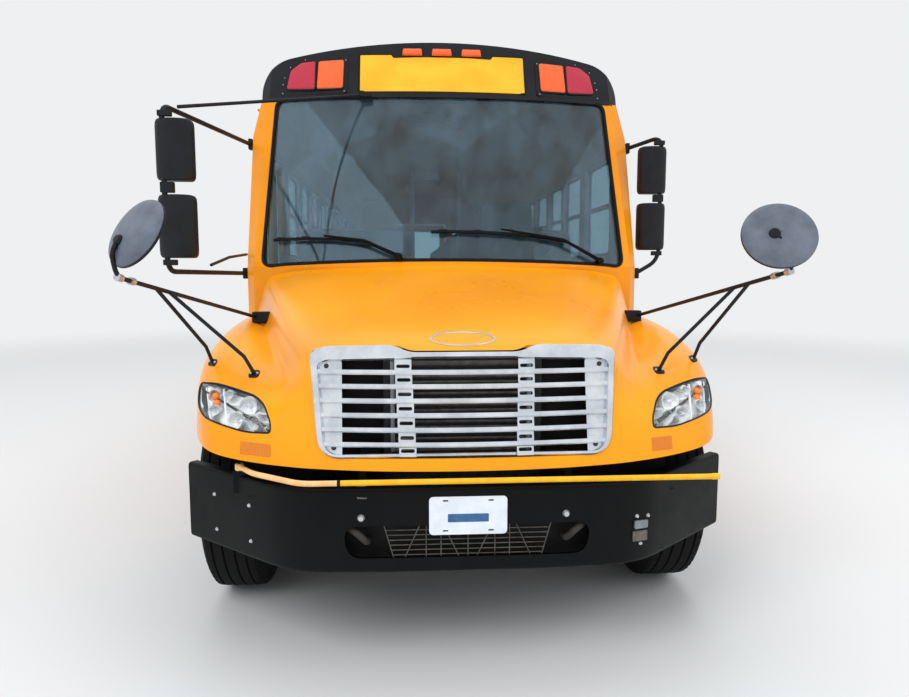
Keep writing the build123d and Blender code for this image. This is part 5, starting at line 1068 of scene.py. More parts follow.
half_plan = eased([(x, at(station)) for x, station in BUMPER_PLAN], BUMPER_EASES)
form = bmesh.new()
swept_section(form, [Vector((-point.x, point.y)) for point in half_plan[:0:-1]] + half_plan, BUMPER_SECTION)
bmesh.ops.recalc_face_normals(form, faces=form.faces)
on_bumper = from_front(BVHTree.FromBMesh(form))
opening = round_corners(BUMPER_OPENING, 60)
form = cut_by(plain_object("front_beam", form), [prism("air_cutter", opening, at(-40), at(90))])
lip = shrunk(opening, -7)
loft(form, [[on_bumper(*point, 0) + Vector((0, depth, 0)) for point in line]
            for line, depth in ((lip, -0.5), (opening, -3), (opening, 14), (lip, 14))], joined=True)
for side in (-1, 1):
    block(form, about(side * 400, 30), (at(46), at(64)), (632, 700), 3)
block(form, about(-925, 28), (at(226), at(268)), (700, 796), 4)
rod(form, (-925, at(232), 790), (-925, at(232), 827), 7)
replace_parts(piece("formed_front_bumper", form, black_enamel, "body", "black_steel", 40), "bumpers")
form = bmesh.new()
swept_section(form, eased(((1199, REAR_FACE - 17), (1199, REAR_FACE + 43), (-1199, REAR_FACE + 43),
                           (-1199, REAR_FACE - 17)), (48, 48)), REAR_BEAM_SECTION)
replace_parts(piece("formed_rear_bumper", form, black_enamel, "body", "black_steel", 40), "bumpers")

form = bmesh.new()
for height in MESH_LEVELS:
    half = 292 + (height - 505) * 38 / 125
    rod(form, (-half, at(14), height), (half, at(14), height), MESH_WIRE, 6)
for side in (-1, 1):
    for top, foot in MESH_STAYS:
        rod(form, (side * top, at(11), 634), (side * foot, at(11), 500), MESH_WIRE, 6)
piece("bumper_mesh", form, dirty_wire, "body", "black_steel")
form = bmesh.new()
for side in (-1, 1):
    tube(form, eased([(side * x, at(station), z) for x, station, z in HOOK_ROUTE], (24, 26, 20)), 14, 14)
piece("tow_hooks", form, cast_iron, "body", "black_steel")
form = bmesh.new()
for x, stations, z in BAFFLES:
    block(form, x, [at(station) for station in stations], z, 1)
piece("radiator_baffle", form, gasket_rubber, "body", "black_plastic")
form = bmesh.new()
for row in range(15):
    height = 886 + row * 24
    rod(form, (CONDENSER_X[0] + 14, at(270), height), (CONDENSER_X[1] - 14, at(270), height), 6, 8)
for height in (1232, 868):
    block(form, CONDENSER_X, (at(258), at(280)), about(height, 9), 2)
piece("condenser_tubes", form, dirty_wire, "body", "radiator_alloy")
form = bmesh.new()
for x in CONDENSER_X:
    block(form, about(x, 9), (at(254), at(284)), (858, 1242), 3)
piece("condenser_headers", form, aluminium, "body", "radiator_alloy")
fasteners("bumper_bolts", bolt_row(BUMPER_BOLTS, on_bumper), 10, 9, 6, 5, zinc, "body")
fasteners("bumper_large_bolts", bolt_row(((-416, 661), (387, 663)), on_bumper), 14, 15, 10, 8, zinc, "body")
form = bmesh.new()
slab(form, round_corners(((668, 618), (731, 612), (731, 578), (668, 582)), 8), on_bumper, 0, 12, 3)
piece("bumper_socket_cap", form, aluminium, "body", "black_steel")
form = bmesh.new()
slab(form, round_corners(((664, 574), (733, 568), (733, 524), (664, 530)), 6), on_bumper, 0, 8, 3)
slab(form, round_corners(((-430, 781), (-392, 781), (-392, 738), (-430, 738)), 5), on_bumper, 0, 4, 1)
piece("bumper_socket_box", form, exhaust_steel, "body", "black_steel")

# Blank plate with four slots and a plain blue strip
PLATE_Z = middle("number_plate").z
on_plate = upright(high("number_plate").y)
form = bmesh.new()
slab(form, rounded(305, 152, 16, (0, PLATE_Z)), on_plate, 0, 3, 0.8)
slots = [prism("plate_slot_%d" % index, rounded(22, 6.4, 3.1, (across, PLATE_Z + rise)), at(-20), at(10))
         for index, (across, rise) in enumerate(((-89, 60), (89, 60), (-89, -60), (89, -60)))]
form = cut_by(plain_object("blank_plate_form", form), slots)
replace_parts(piece("blank_plate", form, white_enamel, "body", "plate_white", 25), "number_plate")
form = bmesh.new()
slab(form, rounded(160, 33, 3, (0, PLATE_Z - 9)), lifted(on_plate, 3), 0, 0.8, 0.3)
piece("plate_blue_strip", form, blue_enamel, "body", "plate_white")

# Crossing arm: a hooked steel end in faded paint, a black band, and a yellow rod with a cap
ARM_Z = middle("crossing_arm").z + 1
ARM_RADIUS = 11.0
ARM_ROUTE = ((-925, 232), (-850, 125), (-640, -30), (-500, -30))
form = bmesh.new()
tube(form, eased([(x, at(station), ARM_Z) for x, station in ARM_ROUTE], (38, 52)), ARM_RADIUS, 16)
turned(form, (-925, at(232), ARM_Z), (0, 0, 1), ((-15, 15), (-12, 18), (10, 18), (13, 15)), 24)
arm_end = piece("crossing_arm_hook", form, peach_paint, "crossing_arm", "arm_yellow")
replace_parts(arm_end, "crossing_arm")
form = bmesh.new()
rod(form, (-501, at(-30), ARM_Z), (-489, at(-30), ARM_Z), ARM_RADIUS + 1, 16)
piece("crossing_arm_band", form, gasket_rubber, "crossing_arm", "arm_yellow")
form = bmesh.new()
turned(form, (0, at(-30), ARM_Z), (1, 0, 0),
       ((-490, 11), (955, 11), (956, 12.5), (980, 12.5), (984, 10), (985, 5)), 16)
piece("crossing_arm_rod", form, rod_yellow, "crossing_arm", "arm_yellow")

# Orange reflectors on the wings, and the bare oval rim on the nose
WING_REFLECTORS = (((-905, 931), (-779, 923), (-779, 876), (-905, 883)),
                   ((770, 928), (862, 930), (862, 878), (770, 876)))
form = bmesh.new()
for outline in WING_REFLECTORS:
    slab(form, round_corners(outline, 4, 3), on_hood, 0, 2.5, 1)
piece("wing_reflectors", form, orange_reflector, "hood", "lamp_lens")
form = bmesh.new()
outer, inner = [ellipse((0, 1327), 140 * wide, 26 * tall, 60) for wide, tall in ((1, 1), (0.93, 0.8))]
frame_band(form, outer, inner, on_hood, -1, 4, 1.5)
piece("bare_oval_rim", form, chrome, "hood", "grille_chrome")

# Rear-view mirrors: a bent tube, clamps, feet and two crowned heads with silvered glass.
# Each set has its station, and the top and foot of its two heads.
MIRROR_TUBE_X = 1351.0
MIRROR_BAR_X = 1398
MIRROR_SETS = ((920.0, (2339.0, 2047.0), (1980.0, 1676.0)), (1920.0, (2408.0, 2111.0), (2050.0, 1751.0)))
MIRROR_FEET = ((2128.0, 2430.0), (1866.0, 1600.0))
MIRROR_HALF = (89.0, 45.0)
HEAD_LEVELS = ((0.0, 0.80), (0.012, 0.90), (0.05, 0.975), (0.12, 1.0), (0.88, 1.0), (0.95, 0.975),
               (0.988, 0.90), (1.0, 0.80))


def head_section(scale):
    """Plan of a mirror's shell: a flat face to the rear and a crowned back."""
    half_x, half_y = MIRROR_HALF
    back = [(-half_x * math.cos(turn) * scale, (14 - (half_y + 14) * math.sin(turn) ** 0.75) * scale)
            for turn in (math.pi * step / 32 for step in range(33))]
    face = [(half_x, half_y - 6), (half_x - 7, half_y), (7 - half_x, half_y), (-half_x, half_y - 6)]
    return back + [(x * scale, y) for x, y in face]


for (side, label), (station, upper, lower) in zip(SIDES, MIRROR_SETS):
    tube_x, bar_x = side * MIRROR_TUBE_X, side * MIRROR_BAR_X
    top, foot = upper[0] + 62, lower[1] - 66
    feet = [Vector((side * 1241, at(place), height)) for place, height in MIRROR_FEET]
    form = bmesh.new()
    tube(form, eased([feet[0], (bar_x, at(station - 20), top), (bar_x, at(station - 20), foot), feet[1]],
                     (78, 78), 10), 13, 14)
    if side < 0:
        tube(form, [(-1217, at(1000), 1643), (-1224, at(1400), 1690), (-1224, at(1830), 1716)], 8, 10)
        end = face_point(-493, 2716) - Vector((0, 14, 0))
        tube(form, [(bar_x + 60, at(station + 40), top + 4), end], 9, 10)
        block(form, (-530, -456), (at(1930), at(1985)), (2698, 2728), 6)
    for point in feet:
        block(form, about(point.x, 13), about(point.y, 30), about(point.z, 34), 6)
    for height in (upper[0] + 22, upper[1] - 22, lower[0] + 22, lower[1] - 22):
        block(form, (bar_x + side * 18, tube_x), about(at(station) - 20, 16), about(height, 14), 5)
    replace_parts(piece("mirror_arms_" + label, form, black_abs, "body", "black_plastic"), "side_mirrors")
    form = bmesh.new()
    glass = bmesh.new()
    on_glass = upright(at(station) + MIRROR_HALF[1], 1)
    for high_z, low_z in (upper, lower):
        tall = high_z - low_z
        loft(form, [[Vector((tube_x + u, at(station) + v, low_z + share * tall))
                     for u, v in head_section(scale)] for share, scale in HEAD_LEVELS])
        face = rounded(154, tall - 40, 26, (tube_x, (high_z + low_z) / 2))
        slab(glass, face, on_glass, -1, 1, 0.5)
        frame_band(form, shrunk(face, -6), face, on_glass, -3, 4, 1.5)
    piece("mirror_shells_" + label, form, black_abs, "body", "black_plastic", 40)
    piece("mirror_glass_" + label, glass, mirror_glass, "body", "glass")

# Crossview mirrors on the hood: domed shells, silver clamps, bent arms and feet. Each set has the way its
# glass faces, its boss across and up from the middle, and its arm's bends.
CROSSVIEW_SETS = (
    ((0.531, 0.705, -0.469), (-45, -41), ((-1312, 30, 1672), (-1302, 40, 1589), (-1050, 1240, 1364))),
    ((0.224, 0.866, -0.447), (-25, -8), ((1272, 30, 1684), (1274, 40, 1612), (1050, 1240, 1364))))
CROSSVIEW_CENTRE = (1235.0, 75.0, 1751.0)
# Share of the long arm where a leg starts, and where its foot stands
CROSSVIEW_LEGS = ((0.21, (1112, 1200)), (0.29, (900, 1165)))
CLAMP_SHARES = (0.012, 0.075)
SHELL_PROFILE = ((4, 143), (-4, 143), (-11, 138), (-19, 118), (-26, 88), (-31, 52), (-34, 24), (-34, 2),
                 (10, 2))
DOME_PROFILE = ((4, 134), (7, 132), (20, 92), (27, 50), (29, 2), (5, 2))
RIM_PROFILE = ((8, 143.5), (8, 133), (2, 131), (-3, 143.5))
clamp_form = bmesh.new()
foot_bolts = []
for (side, label), (facing, boss, bends) in zip(SIDES, CROSSVIEW_SETS):
    centre = Vector((side * CROSSVIEW_CENTRE[0], at(CROSSVIEW_CENTRE[1]), CROSSVIEW_CENTRE[2]))
    way = Vector(facing).normalized()
    form = bmesh.new()
    lathe(form, centre, way, SHELL_PROFILE)
    shell = piece("crossview_shell_" + label, form, dusty_abs, "hood", "black_plastic", 50)
    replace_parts(shell, "crossview_mirrors")
    form = bmesh.new()
    lathe(form, centre, way, DOME_PROFILE)
    piece("crossview_glass_" + label, form, mirror_glass, "hood", "glass", 50)
    form = bmesh.new()
    lathe(form, centre, way, RIM_PROFILE)
    hub = centre + Vector((boss[0], -(facing[0] * boss[0] + facing[2] * boss[1]) / facing[1], boss[1]))
    turned(form, hub, way, ((-20, 24), (-36, 22), (-44, 15)), 20)
    bends = [Vector((x, at(station), z)) for x, station, z in bends]
    run = bends[2] - bends[1]
    tube(form, eased([hub - way * 36] + bends, (22, 40)), 9, 12)
    for share, foot in CROSSVIEW_LEGS:
        start = bends[1] + run * share
        under = on_hood(side * foot[0], foot[1], 0)
        tube(form, [start, (under + Vector((0, 0, 40))).lerp(start, 0.12), under + Vector((0, -4, 6))], 8, 12)
        slab(form, rounded(46, 24, 10, (under.x, foot[1])), on_hood, -1, 5, 2)
        foot_bolts += bolt_row([(x, foot[1]) for x in about(under.x, 15)], lifted(on_hood, 5))
    block(form, (side * 940, side * 1072), (at(1216), at(1272)), (1330, 1394), 8)
    piece("crossview_arms_" + label, form, black_abs, "hood", "black_plastic")
    for share in CLAMP_SHARES:
        turned(clamp_form, bends[1] + run * share, run, ((-14, 15), (14, 15)), 16)
piece("crossview_clamps", clamp_form, zinc, "hood", "grille_chrome")
fasteners("crossview_foot_bolts", foot_bolts, 8, 6, 4, 5, zinc, "hood")

# Black lower edge of the front cap, down to the windscreen's gasket
form = bmesh.new()
bowed_plate(form, 1124, 2700, lambda across: 2726, -3, 5, 60)
piece("front_cap_lower_edge", form, cap_black, "body", "cap_black")

# Side windows: split sashes in extruded frames, each with a rubber seal and two latches
WINDOW_HALF = (310.5, 340.0)
WINDOW_MIDDLE = 2060.0
WINDOW_FIRST = 3080.0
WINDOW_PITCH = 711.0
WINDOW_COUNT = 11
DRIVER_WINDOW = (2260.0, 2960.0)
EAVE = 2712.0


def on_wall(side):
    """Placing function over a flat side wall: y, height and lift."""
    return lambda along, height, lift: Vector((side * (BODY_SIDE + lift), along, height))


def off_wall(side, inner, outer):
    """Limits across of what stands on a side wall, from two lifts."""
    return side * (BODY_SIDE + inner), side * (BODY_SIDE + outer)


def on_sheet(name, side, along, height):
    """Whether a node has its outer face at a place on one side of the bus."""
    point = skin(name).ray_cast(Vector((side * 3000, along, height)), Vector((-side, 0, 0)))[0]
    return point is not None and point.x * side > BODY_SIDE - 20


def sash_window(frames, seals, catches, side, along, half):
    """One split-sash window of the side wall."""
    place = on_wall(side)
    reveal, outline, inner, lip = [
        rounded(2 * half + more, 2 * WINDOW_HALF[1] + more, radius, (along, WINDOW_MIDDLE))
        for more, radius in ((-1, 52), (34, 70), (-30, 46), (-50, 38))]
    frame_band(frames, reveal, shrunk(reveal, 8), place, -50, -8, 1)
    frame_band(frames, outline, inner, place, -14, 7, 3)
    frame_band(seals, shrunk(inner, -2), lip, place, -12, 1, 2)
    x = off_wall(side, -12, 3)
    block(frames, x, about(along, half - 14), (WINDOW_MIDDLE + 6, WINDOW_MIDDLE + 36), 3)
    block(seals, x, about(along, half - 18), (WINDOW_MIDDLE - 2, WINDOW_MIDDLE + 5), 1)
    for way in (-1, 1):
        block(catches, off_wall(side, -30, -12), about(along + way * half * 0.62, 24),
              about(WINDOW_MIDDLE + 16, 8), 3)


for side, label in SIDES:
    frames, seals, catches = bmesh.new(), bmesh.new(), bmesh.new()
    places = [(WINDOW_FIRST + WINDOW_PITCH * (row + 0.5), WINDOW_HALF[0]) for row in range(WINDOW_COUNT)]
    if side > 0:
        places.append((sum(DRIVER_WINDOW) / 2, (DRIVER_WINDOW[1] - DRIVER_WINDOW[0]) / 2))
    for station, half in places:
        sash_window(frames, seals, catches, side, at(station), half)
    piece("window_frames_" + label, frames, aluminium, "body", "radiator_alloy")
    piece("window_seals_" + label, seals, gasket_rubber, "body", "black_plastic")
    piece("window_catches_" + label, catches, black_enamel, "body", "black_steel")

# Rivets along the side sheets, drip rail over the windows, reflective tape and marker lamps
RIVET_ROWS = (548.0, 1690.0, 2440.0, 2690.0)
RIVET_STATIONS = [3440 + step * 118.0 for step in range(63)]
POST_RIVETS = [1750 + step * 104 for step in range(7)]
TAPE_Z = 1235.0
rivets = []
tape, drip, amber_form, red_form = bmesh.new(), bmesh.new(), bmesh.new(), bmesh.new()
for side, label in SIDES:
    place = on_wall(side)
    spots = [(at(station), height) for height in RIVET_ROWS for station in RIVET_STATIONS
             if on_sheet("side_wall_" + label, side, at(station), height)]
    first_post = 0 if side > 0 else 1
    spots += [(at(WINDOW_FIRST + row * WINDOW_PITCH), height)
              for row in range(first_post, WINDOW_COUNT + 1) for height in POST_RIVETS]
    rivets += [(place(along, height, 0), (side, 0, 0)) for along, height in spots]
    block(tape, off_wall(side, -1, 1.2), (at(3480), at(10900)), about(TAPE_Z, 22), 0.4)
    rail = [Vector((side * (BODY_SIDE + 2), at(station), EAVE - 22)) for station in (2330, 6000, 11000)]
    ribbon(drip, rail, [Vector((0, 0, 1))] * 3, 26, 9)
    markers = ((amber_form, 7300), (red_form, 10950), (amber_form, 2200))
    for form, station in markers if side > 0 else markers[:2]:
        crowned_lens(form, rounded(110, 48, 12, (at(station), 900)), place, 0, 16, 9)
fasteners("side_rivets", rivets, 8, 5.5, 3.5, 2.6, enamel, "body")
piece("side_tape", tape, tape_yellow, "body", "bus_yellow")
piece("drip_rails", drip, roof_enamel, "body", "roof_yellow")
piece("side_markers_amber", amber_form, amber_lens, "body", "lamp_lens")
piece("side_markers_red", red_form, red_lens, "body", "lamp_lens")

# Pressed beads and bolts of the rub rails. A bead runs along each stretch where the rail's face is there.
RAIL_ROWS = (1655.0, 1400.0, 1065.0, 700.0)
RAIL_SPAN = (3420.0, 10930.0)
RAIL_STEPS = 375
RAIL_PLACES = [at(RAIL_SPAN[0] + (RAIL_SPAN[1] - RAIL_SPAN[0]) * step / RAIL_STEPS)
               for step in range(RAIL_STEPS + 1)]
RAIL_FACE = max(abs(low("rub_rails").x), high("rub_rails").x)
form = bmesh.new()
rail_bolts = []
for side, height in itertools.product((-1, 1), RAIL_ROWS):
    found = [(on_sheet("rub_rails", side, along, height), along) for along in RAIL_PLACES]
    for there, run in itertools.groupby(found, lambda pair: pair[0]):
        if there:
            stretch = [pair[1] for pair in run]
            for rise in (-22, 22):
                line = [Vector((side * (RAIL_FACE - 1), along, height + rise))
                        for along in (stretch[0], (stretch[0] + stretch[-1]) / 2, stretch[-1])]
                ribbon(form, line, [Vector((side, 0, 0))] * 3, 16, 4)
    rail_bolts += [(Vector((side * RAIL_FACE, along, height)), (side, 0, 0))
                   for along in (at(3460 + step * 352) for step in range(22))
                   if on_sheet("rub_rails", side, along, height)]
piece("rub_rail_beads", form, black_enamel, "body", "black_steel")
fasteners("rub_rail_bolts", rail_bolts, 8, 8, 6, 4, black_enamel, "body")

# Roof: rivet lines over the bows, and ribs and handles on the hatch lids
roof_rivets = []
for row, step in itertools.product(range(14), range(25)):
    above = Vector((-1040 + step * 2080 / 24, at(2500 + row * 640), 4000))
    point, normal = skin("roof").ray_cast(above, Vector((0, 0, -1)))[:2]
    if point is not None and normal.z > 0.2:
        roof_rivets.append((point, normal))
fasteners("roof_rivets", roof_rivets, 8, 6, 4, 2.6, roof_enamel, "body")


def on_lid(top):
    """Placing function over a level lid: across, y and lift."""
    return lambda across, along, lift: Vector((across, along, top + lift))


for label in ("front", "rear"):
    centre, top = middle("roof_hatch_" + label), high("roof_hatch_" + label).z
    form = bmesh.new()
    lid = rounded(600, 600, 60, centre)
    frame_band(form, lid, shrunk(lid, 34), on_lid(top), -1, 9, 4)
    slab(form, rounded(370, 370, 40, centre), on_lid(top), -1, 10, 6)
    piece("hatch_lid_ribs_" + label, form, hatch_polyester, "hatch_" + label, "hatch_white")
    form = bmesh.new()
    tube(form, eased([(centre.x + x, centre.y - 240, top + rise) for x, rise in
                      ((-70, -2), (-70, 26), (70, 26), (70, -2))], (10, 10)), 5, 10)
    piece("hatch_handle_" + label, form, black_enamel, "hatch_" + label, "black_steel")

# Entrance door: rubber edges round the glass, and a kick plate on each leaf
ENTRANCE_PANES = ((560, 1180), (1270, 2330))
for label in ("front", "rear"):
    node_name, body = "entrance_door_" + label, "entrance_" + label
    width = high(node_name).y - low(node_name).y
    centre = middle(node_name).y
    place = on_side(node_name, -1)
    form = bmesh.new()
    for low_z, high_z in ENTRANCE_PANES:
        edge = rounded(width - 108, high_z - low_z + 22, 40, (centre, (low_z + high_z) / 2))
        frame_band(form, edge, shrunk(edge, 20), place, -6, 5, 2.5)
    piece("entrance_glass_seals_" + label, form, gasket_rubber, body, "black_plastic")
    form = bmesh.new()
    slab(form, rounded(width - 80, 96, 8, (centre, 476)), place, 0, 3, 1)
    piece("entrance_kick_plate_" + label, form, aluminium, body, "radiator_alloy")

# Rear: seals round the windows and the door, the door's handle, and reflective tape
EMERGENCY_PANES = ((1160, 1600), (1740, 2380))
HANDLE_ROUTE = ((395, 5550, 1660), (395, 5590, 1660), (250, 5590, 1660), (250, 5550, 1660))
form = bmesh.new()
for side in (-1, 1):
    pane = rounded(470, 710, 70, (side * 815, 2060))
    frame_band(form, pane, shrunk(pane, 34), on_rear, -46, 7, 3)
piece("rear_window_seals", form, gasket_rubber, "body", "black_plastic")
form = bmesh.new()
on_door = upright(skin("emergency_door").ray_cast(Vector((0, 9000, 1670)), Vector((0, -1, 0)))[0].y, 1)
for low_z, high_z in EMERGENCY_PANES:
    pane = rounded(800, high_z - low_z + 40, 50, (0, (low_z + high_z) / 2))
    frame_band(form, pane, shrunk(pane, 32), on_door, -36, 6, 3)
piece("emergency_glass_seals", form, gasket_rubber, "emergency", "black_plastic")
form = bmesh.new()
tube(form, eased(HANDLE_ROUTE, (16, 16)), 9, 12)
piece("emergency_handle", form, black_enamel, "emergency", "black_steel")
form = bmesh.new()
frame_line = rounded(1010, 1500, 40, (0, 1772))
frame_band(form, shrunk(frame_line, -14), shrunk(frame_line, 4), on_rear, -6, 6, 3)
piece("emergency_frame_seal", form, gasket_rubber, "body", "black_plastic")
form = bmesh.new()
for x, z in (((-560, -1150), (902, 946)), ((-505, -549), (960, 2480)), ((560, 1150), (902, 946)),
             ((505, 549), (960, 2480)), ((-549, 549), (2520, 2564))):
    block(form, x, (REAR_FACE - 1, REAR_FACE + 1.2), z, 0.4)
piece("rear_tape", form, tape_yellow, "body", "bus_yellow")

# Underside: mud flaps on their bars, tank straps and the propeller shaft
MUD_FLAPS = (((610, 1190), (2700, 2712), (260, 830)), ((930, 1190), (-3930, -3920), (280, 700)))
SHAFT_ENDS = ((-3400, 610), (1900, 560))
FLAP_BARS = (((400, 1186), (-3919, -3899), (664, 694)), ((400, 1180), (2713, 2733), (800, 830)))
for name, rows, material, slot_name in (("mud_flaps", MUD_FLAPS, gasket_rubber, "black_plastic"),
                                        ("mud_flap_bars", FLAP_BARS, chassis_paint, "chassis_black")):
    form = bmesh.new()
    for side, (x, y, z) in itertools.product((-1, 1), rows):
        block(form, (side * x[0], side * x[1]), y, z, 3)
    piece(name, form, material, "body", slot_name)
form = bmesh.new()
near, far = low("fuel_tank"), high("fuel_tank")
belt = ((near.x - 2, far.z - 50), (near.x - 2, near.z + 40), (near.x + 40, near.z - 2),
        (far.x - 40, near.z - 2), (far.x + 1, near.z + 40), (far.x + 1, far.z - 50))
for along in (near.y + 260, far.y - 260):
    for first, last in zip(belt, belt[1:]):
        rod(form, (first[0], along, first[1]), (last[0], along, last[1]), 5, 8)
piece("tank_straps", form, zinc, "body", "chassis_black")
form = bmesh.new()
(shaft_front, front_z), (shaft_rear, rear_z) = SHAFT_ENDS
rod(form, (0, shaft_front, front_z), (0, shaft_rear, rear_z), 46, 24)
for along in (shaft_front, -700, shaft_rear):
    height = front_z - (along - shaft_front) * (front_z - rear_z) / (shaft_rear - shaft_front)
    rod(form, (0, along - 40, height), (0, along + 40, height), 66, 18)
piece("propeller_shaft", form, chassis_paint, "body", "chassis_black")

# Stop arm: blank face with a pale border and two lamps
STOP_MIDDLE = (at(3310), 1530.0)
STOP_FACE = high("stop_arm").x


def on_stop(along, height, lift):
    """Point at a lift from the stop arm's face."""
    return Vector((STOP_FACE + lift, along, height))


form = bmesh.new()
octagon = ellipse(STOP_MIDDLE, 247, 247, 8, math.radians(22.5))
frame_band(form, shrunk(octagon, 20), shrunk(octagon, 34), on_stop, -1, 1.2, 0.4)
piece("stop_arm_border", form, silver_sheet, "stop_arm", "stop_red")
form = bmesh.new()
for rise in (-150, 150):
    crowned_lens(form, ellipse((STOP_MIDDLE[0], STOP_MIDDLE[1] + rise), 50, 50, 32), on_stop, -1, 12, 10)
piece("stop_arm_lamps", form, red_lens, "stop_arm", "lamp_lens")

# Hood latches at the cowl: rubber pulls with steel keepers
LATCH_STATION = 1640
LATCH_Z = 1120
form = bmesh.new()
for side in (-1, 1):
    spot = on_side("hood", side)(at(LATCH_STATION), LATCH_Z, 0)
    block(form, (spot.x, spot.x + side * 14), about(spot.y, 22), about(LATCH_Z, 50), 5)
    rod(form, spot + Vector((side * 8, -30, 60)), spot + Vector((side * 8, 30, 60)), 8, 12)
piece("hood_latches", form, gasket_rubber, "hood", "black_plastic")

# Benches: padded cushions and backs in embossed vinyl, on steel legs. Limits along the bus count from the
# front of each row.
BENCH_ROWS = 11
BENCH_FIRST = 3430.0
BENCH_X = (193.0, 1166.0)
CUSHION = ((2, 392), (1364, 1494))
BACK = ((338, 412), (1500, 1998))
BACK_LEAN = 52
WELT_HEIGHTS = (1560, 1780)
LEG_PLACES = (55, 355)
FLOOR_TOP = 1031
DRIVER_Y = at(2760)


def pad(form, x, y, z, lean, crown, cuts):
    """A crowned pad between (low, high) pairs, which leans back as it rises."""
    grid = {}
    for place in itertools.product(*[range(count + 1) for count in cuts]):
        if all(0 < step < count for step, count in zip(place, cuts)):
            continue
        shares = [step / count for step, count in zip(place, cuts)]
        swell = [math.sin(math.pi * share) ** 0.5 for share in shares]
        point = Vector([pair[0] + (pair[1] - pair[0]) * share for pair, share in zip((x, y, z), shares)])
        for axis in range(3):
            if place[axis] in (0, cuts[axis]):
                pull = crown * 0.8 * (1 - min(swell[:axis] + swell[axis + 1:]))
                point[axis] += -pull if place[axis] else pull
        point.y += lean * shares[2]
        grid[place] = form.verts.new(point)
    for first, second, axis in ((0, 1, 2), (1, 2, 0), (0, 2, 1)):
        for end, a, b in itertools.product((0, cuts[axis]), range(cuts[first]), range(cuts[second])):
            corners = []
            for step_a, step_b in ((0, 0), (1, 0), (1, 1), (0, 1)):
                key = [end, end, end]
                key[first], key[second] = a + step_a, b + step_b
                corners.append(grid[tuple(key)])
            form.faces.new(corners)


def padded_piece(name, form, body):
    made = piece(name, form, bench_vinyl, body, "seat_vinyl", 70)
    modify(made, "soften", "SUBSURF", levels=1, render_levels=1)
    return made


cushions, backs, welts, legs, barrier = bmesh.new(), bmesh.new(), bmesh.new(), bmesh.new(), bmesh.new()
for side in (-1, 1):
    x = sorted((side * BENCH_X[0], side * BENCH_X[1]))
    for row in range(BENCH_ROWS):
        front = at(BENCH_FIRST + row * WINDOW_PITCH)
        pad(cushions, x, [front + place for place in CUSHION[0]], CUSHION[1], 0, 16, (8, 5, 3))
        pad(backs, x, [front + place for place in BACK[0]], BACK[1], BACK_LEAN, 14, (8, 3, 6))
        for height in WELT_HEIGHTS:
            seam_y = front + 337 + BACK_LEAN * (height - BACK[1][0]) / (BACK[1][1] - BACK[1][0])
            rod(welts, (x[0] + 12, seam_y, height), (x[1] - 12, seam_y, height), 3, 6)
        for place in LEG_PLACES:
            foot = Vector((side * 280, front + place, FLOOR_TOP))
            tube(legs, [foot, (foot.x, foot.y, CUSHION[1][0] - 2)], 16, 10)
        block(legs, (x[0] + 10, x[1] - 10), (front + 30, front + 60), (CUSHION[1][0] - 16, CUSHION[1][0]), 3)
    pad(barrier, sorted((side * 206, side * 1150)), (at(3306), at(3346)), (1180, 1960), 0, 10, (8, 3, 6))
bench_cushions = padded_piece("bench_cushions", cushions, "body")
padded_piece("bench_backs", backs, "body")
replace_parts(bench_cushions, "seats")
piece("bench_welts", welts, gasket_rubber, "body", "seat_vinyl")
piece("bench_legs", legs, black_enamel, "body", "black_steel")
form = bmesh.new()
pad(form, (344, 816), (DRIVER_Y + 2, DRIVER_Y + 432), (1414, 1542), 0, 18, (6, 5, 3))
pad(form, (356, 804), (DRIVER_Y + 372, DRIVER_Y + 478), (1548, 2186), 62, 16, (6, 3, 7))
padded_piece("driver_seat_pads", form, "body")
form = bmesh.new()
block(form, (480, 680), (DRIVER_Y + 120, DRIVER_Y + 320), (FLOOR_TOP, 1412), 20)
for x in (340, 820):
    block(form, about(x, 26), (DRIVER_Y + 140, DRIVER_Y + 420), (1668, 1712), 14)
piece("driver_seat_base", form, dash_abs, "body", "dash_grey")

# Grab rails, and the padded barriers behind the driver and the entrance
GRAB_ROUTE = ((2240, 1040), (2240, 1720), (2900, 1720), (2900, 1040))
form = bmesh.new()
tube(form, eased([(-1080, at(station), z) for station, z in GRAB_ROUTE], (60, 60)), 15, 12)
for x in (190, -190):
    tube(form, [(x, at(3330), FLOOR_TOP), (x, at(3330), 2600)], 15, 12)
piece("grab_rails", form, aluminium, "body", "radiator_alloy")
padded_piece("barrier_pads", barrier, "body")

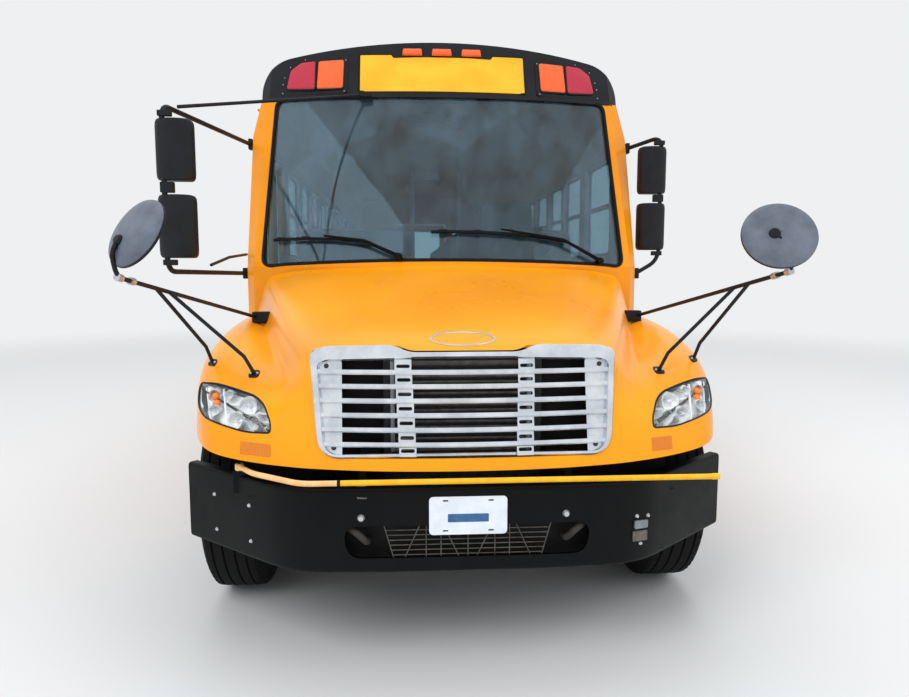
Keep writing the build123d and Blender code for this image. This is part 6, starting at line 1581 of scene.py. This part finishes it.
# Stage: a plain pale floor that fades into the backdrop far from the bus
FLOOR_REACH = 40.0
FLOOR_FADE = (6.0, 15.0)
data = bpy.data.meshes.new("studio_floor")
data.from_pydata([(FLOOR_REACH * x, FLOOR_REACH * y, 0) for x, y in ((-1, -1), (1, -1), (1, 1), (-1, 1))], [],
                 [(0, 1, 2, 3)])
material, tree, shader, place = start_material("studio_floor")
far = node(tree, "ShaderNodeVectorMath", {0: place}, "Value", operation="LENGTH")
faded = mapped(tree, far, FLOOR_FADE, (1.0, 0.0), "SMOOTHSTEP")
feed(tree, shader, {"Alpha": faded, "Base Color": linear("DCDDDD"), "Roughness": 0.95,
                    "Specular IOR Level": 0.1})
data.materials.append(material)
add_object("studio_floor", data)

# World: a soft light, and a paler backdrop for the rays that show it
world = bpy.data.worlds.new("studio")
bpy.context.scene.world = world
world.use_nodes = True
tree = world.node_tree
seen = tree.nodes.new("ShaderNodeLightPath").outputs
direct = arithmetic(tree, "MAXIMUM", seen["Is Camera Ray"], seen["Is Transmission Ray"])
shown = arithmetic(tree, "MAXIMUM", direct, seen["Is Glossy Ray"])
soft = tree.nodes["Background"]
feed(tree, soft, {"Color": (0.66, 0.68, 0.71, 1.0), "Strength": 1.0})
bright = node(tree, "ShaderNodeBackground", {"Color": (0.86, 0.87, 0.88, 1.0), "Strength": 1.0})
mixed = node(tree, "ShaderNodeMixShader", {0: shown, 1: soft.outputs[0], 2: bright})
feed(tree, tree.nodes["World Output"], {"Surface": mixed})

# Area lights: place, aim, size and power
for name, place, aim, size, power in (("key", (-7, -13, 10), (0, -4, 1.2), 8, 900),
                                      ("fill", (10, -9, 7), (0, -3, 1.4), 8, 420),
                                      ("top", (0, 1, 12), (0, 0, 0), 12, 800)):
    lamp = bpy.data.lights.new(name, "AREA")
    lamp.size = size
    lamp.energy = power
    holder = add_object(name, lamp)
    holder.location = place
    holder.rotation_euler = (Vector(aim) - Vector(place)).to_track_quat("-Z", "Y").to_euler()
    holder.visible_glossy = False

# Camera, worked out from the photograph's perspective: focus in pixels, place in metres, turns in degrees
IMAGE_WIDTH = 909.0
CAMERA_FOCUS = 710.0
CAMERA_PLACE = (-0.225, -8.229, 1.607)
CAMERA_YAW = 3.667
CAMERA_PITCH = 6.14
camera_data = bpy.data.cameras.new("camera")
camera_data.sensor_width = 36.0
camera_data.lens = CAMERA_FOCUS / IMAGE_WIDTH * camera_data.sensor_width
camera_data.clip_end = 200.0
camera = add_object("camera", camera_data)
camera.location = CAMERA_PLACE
camera.rotation_euler = (math.radians(90 - CAMERA_PITCH), 0.0, math.radians(-CAMERA_YAW))
bpy.context.scene.camera = camera
bpy.context.scene.view_settings.view_transform = "Standard"
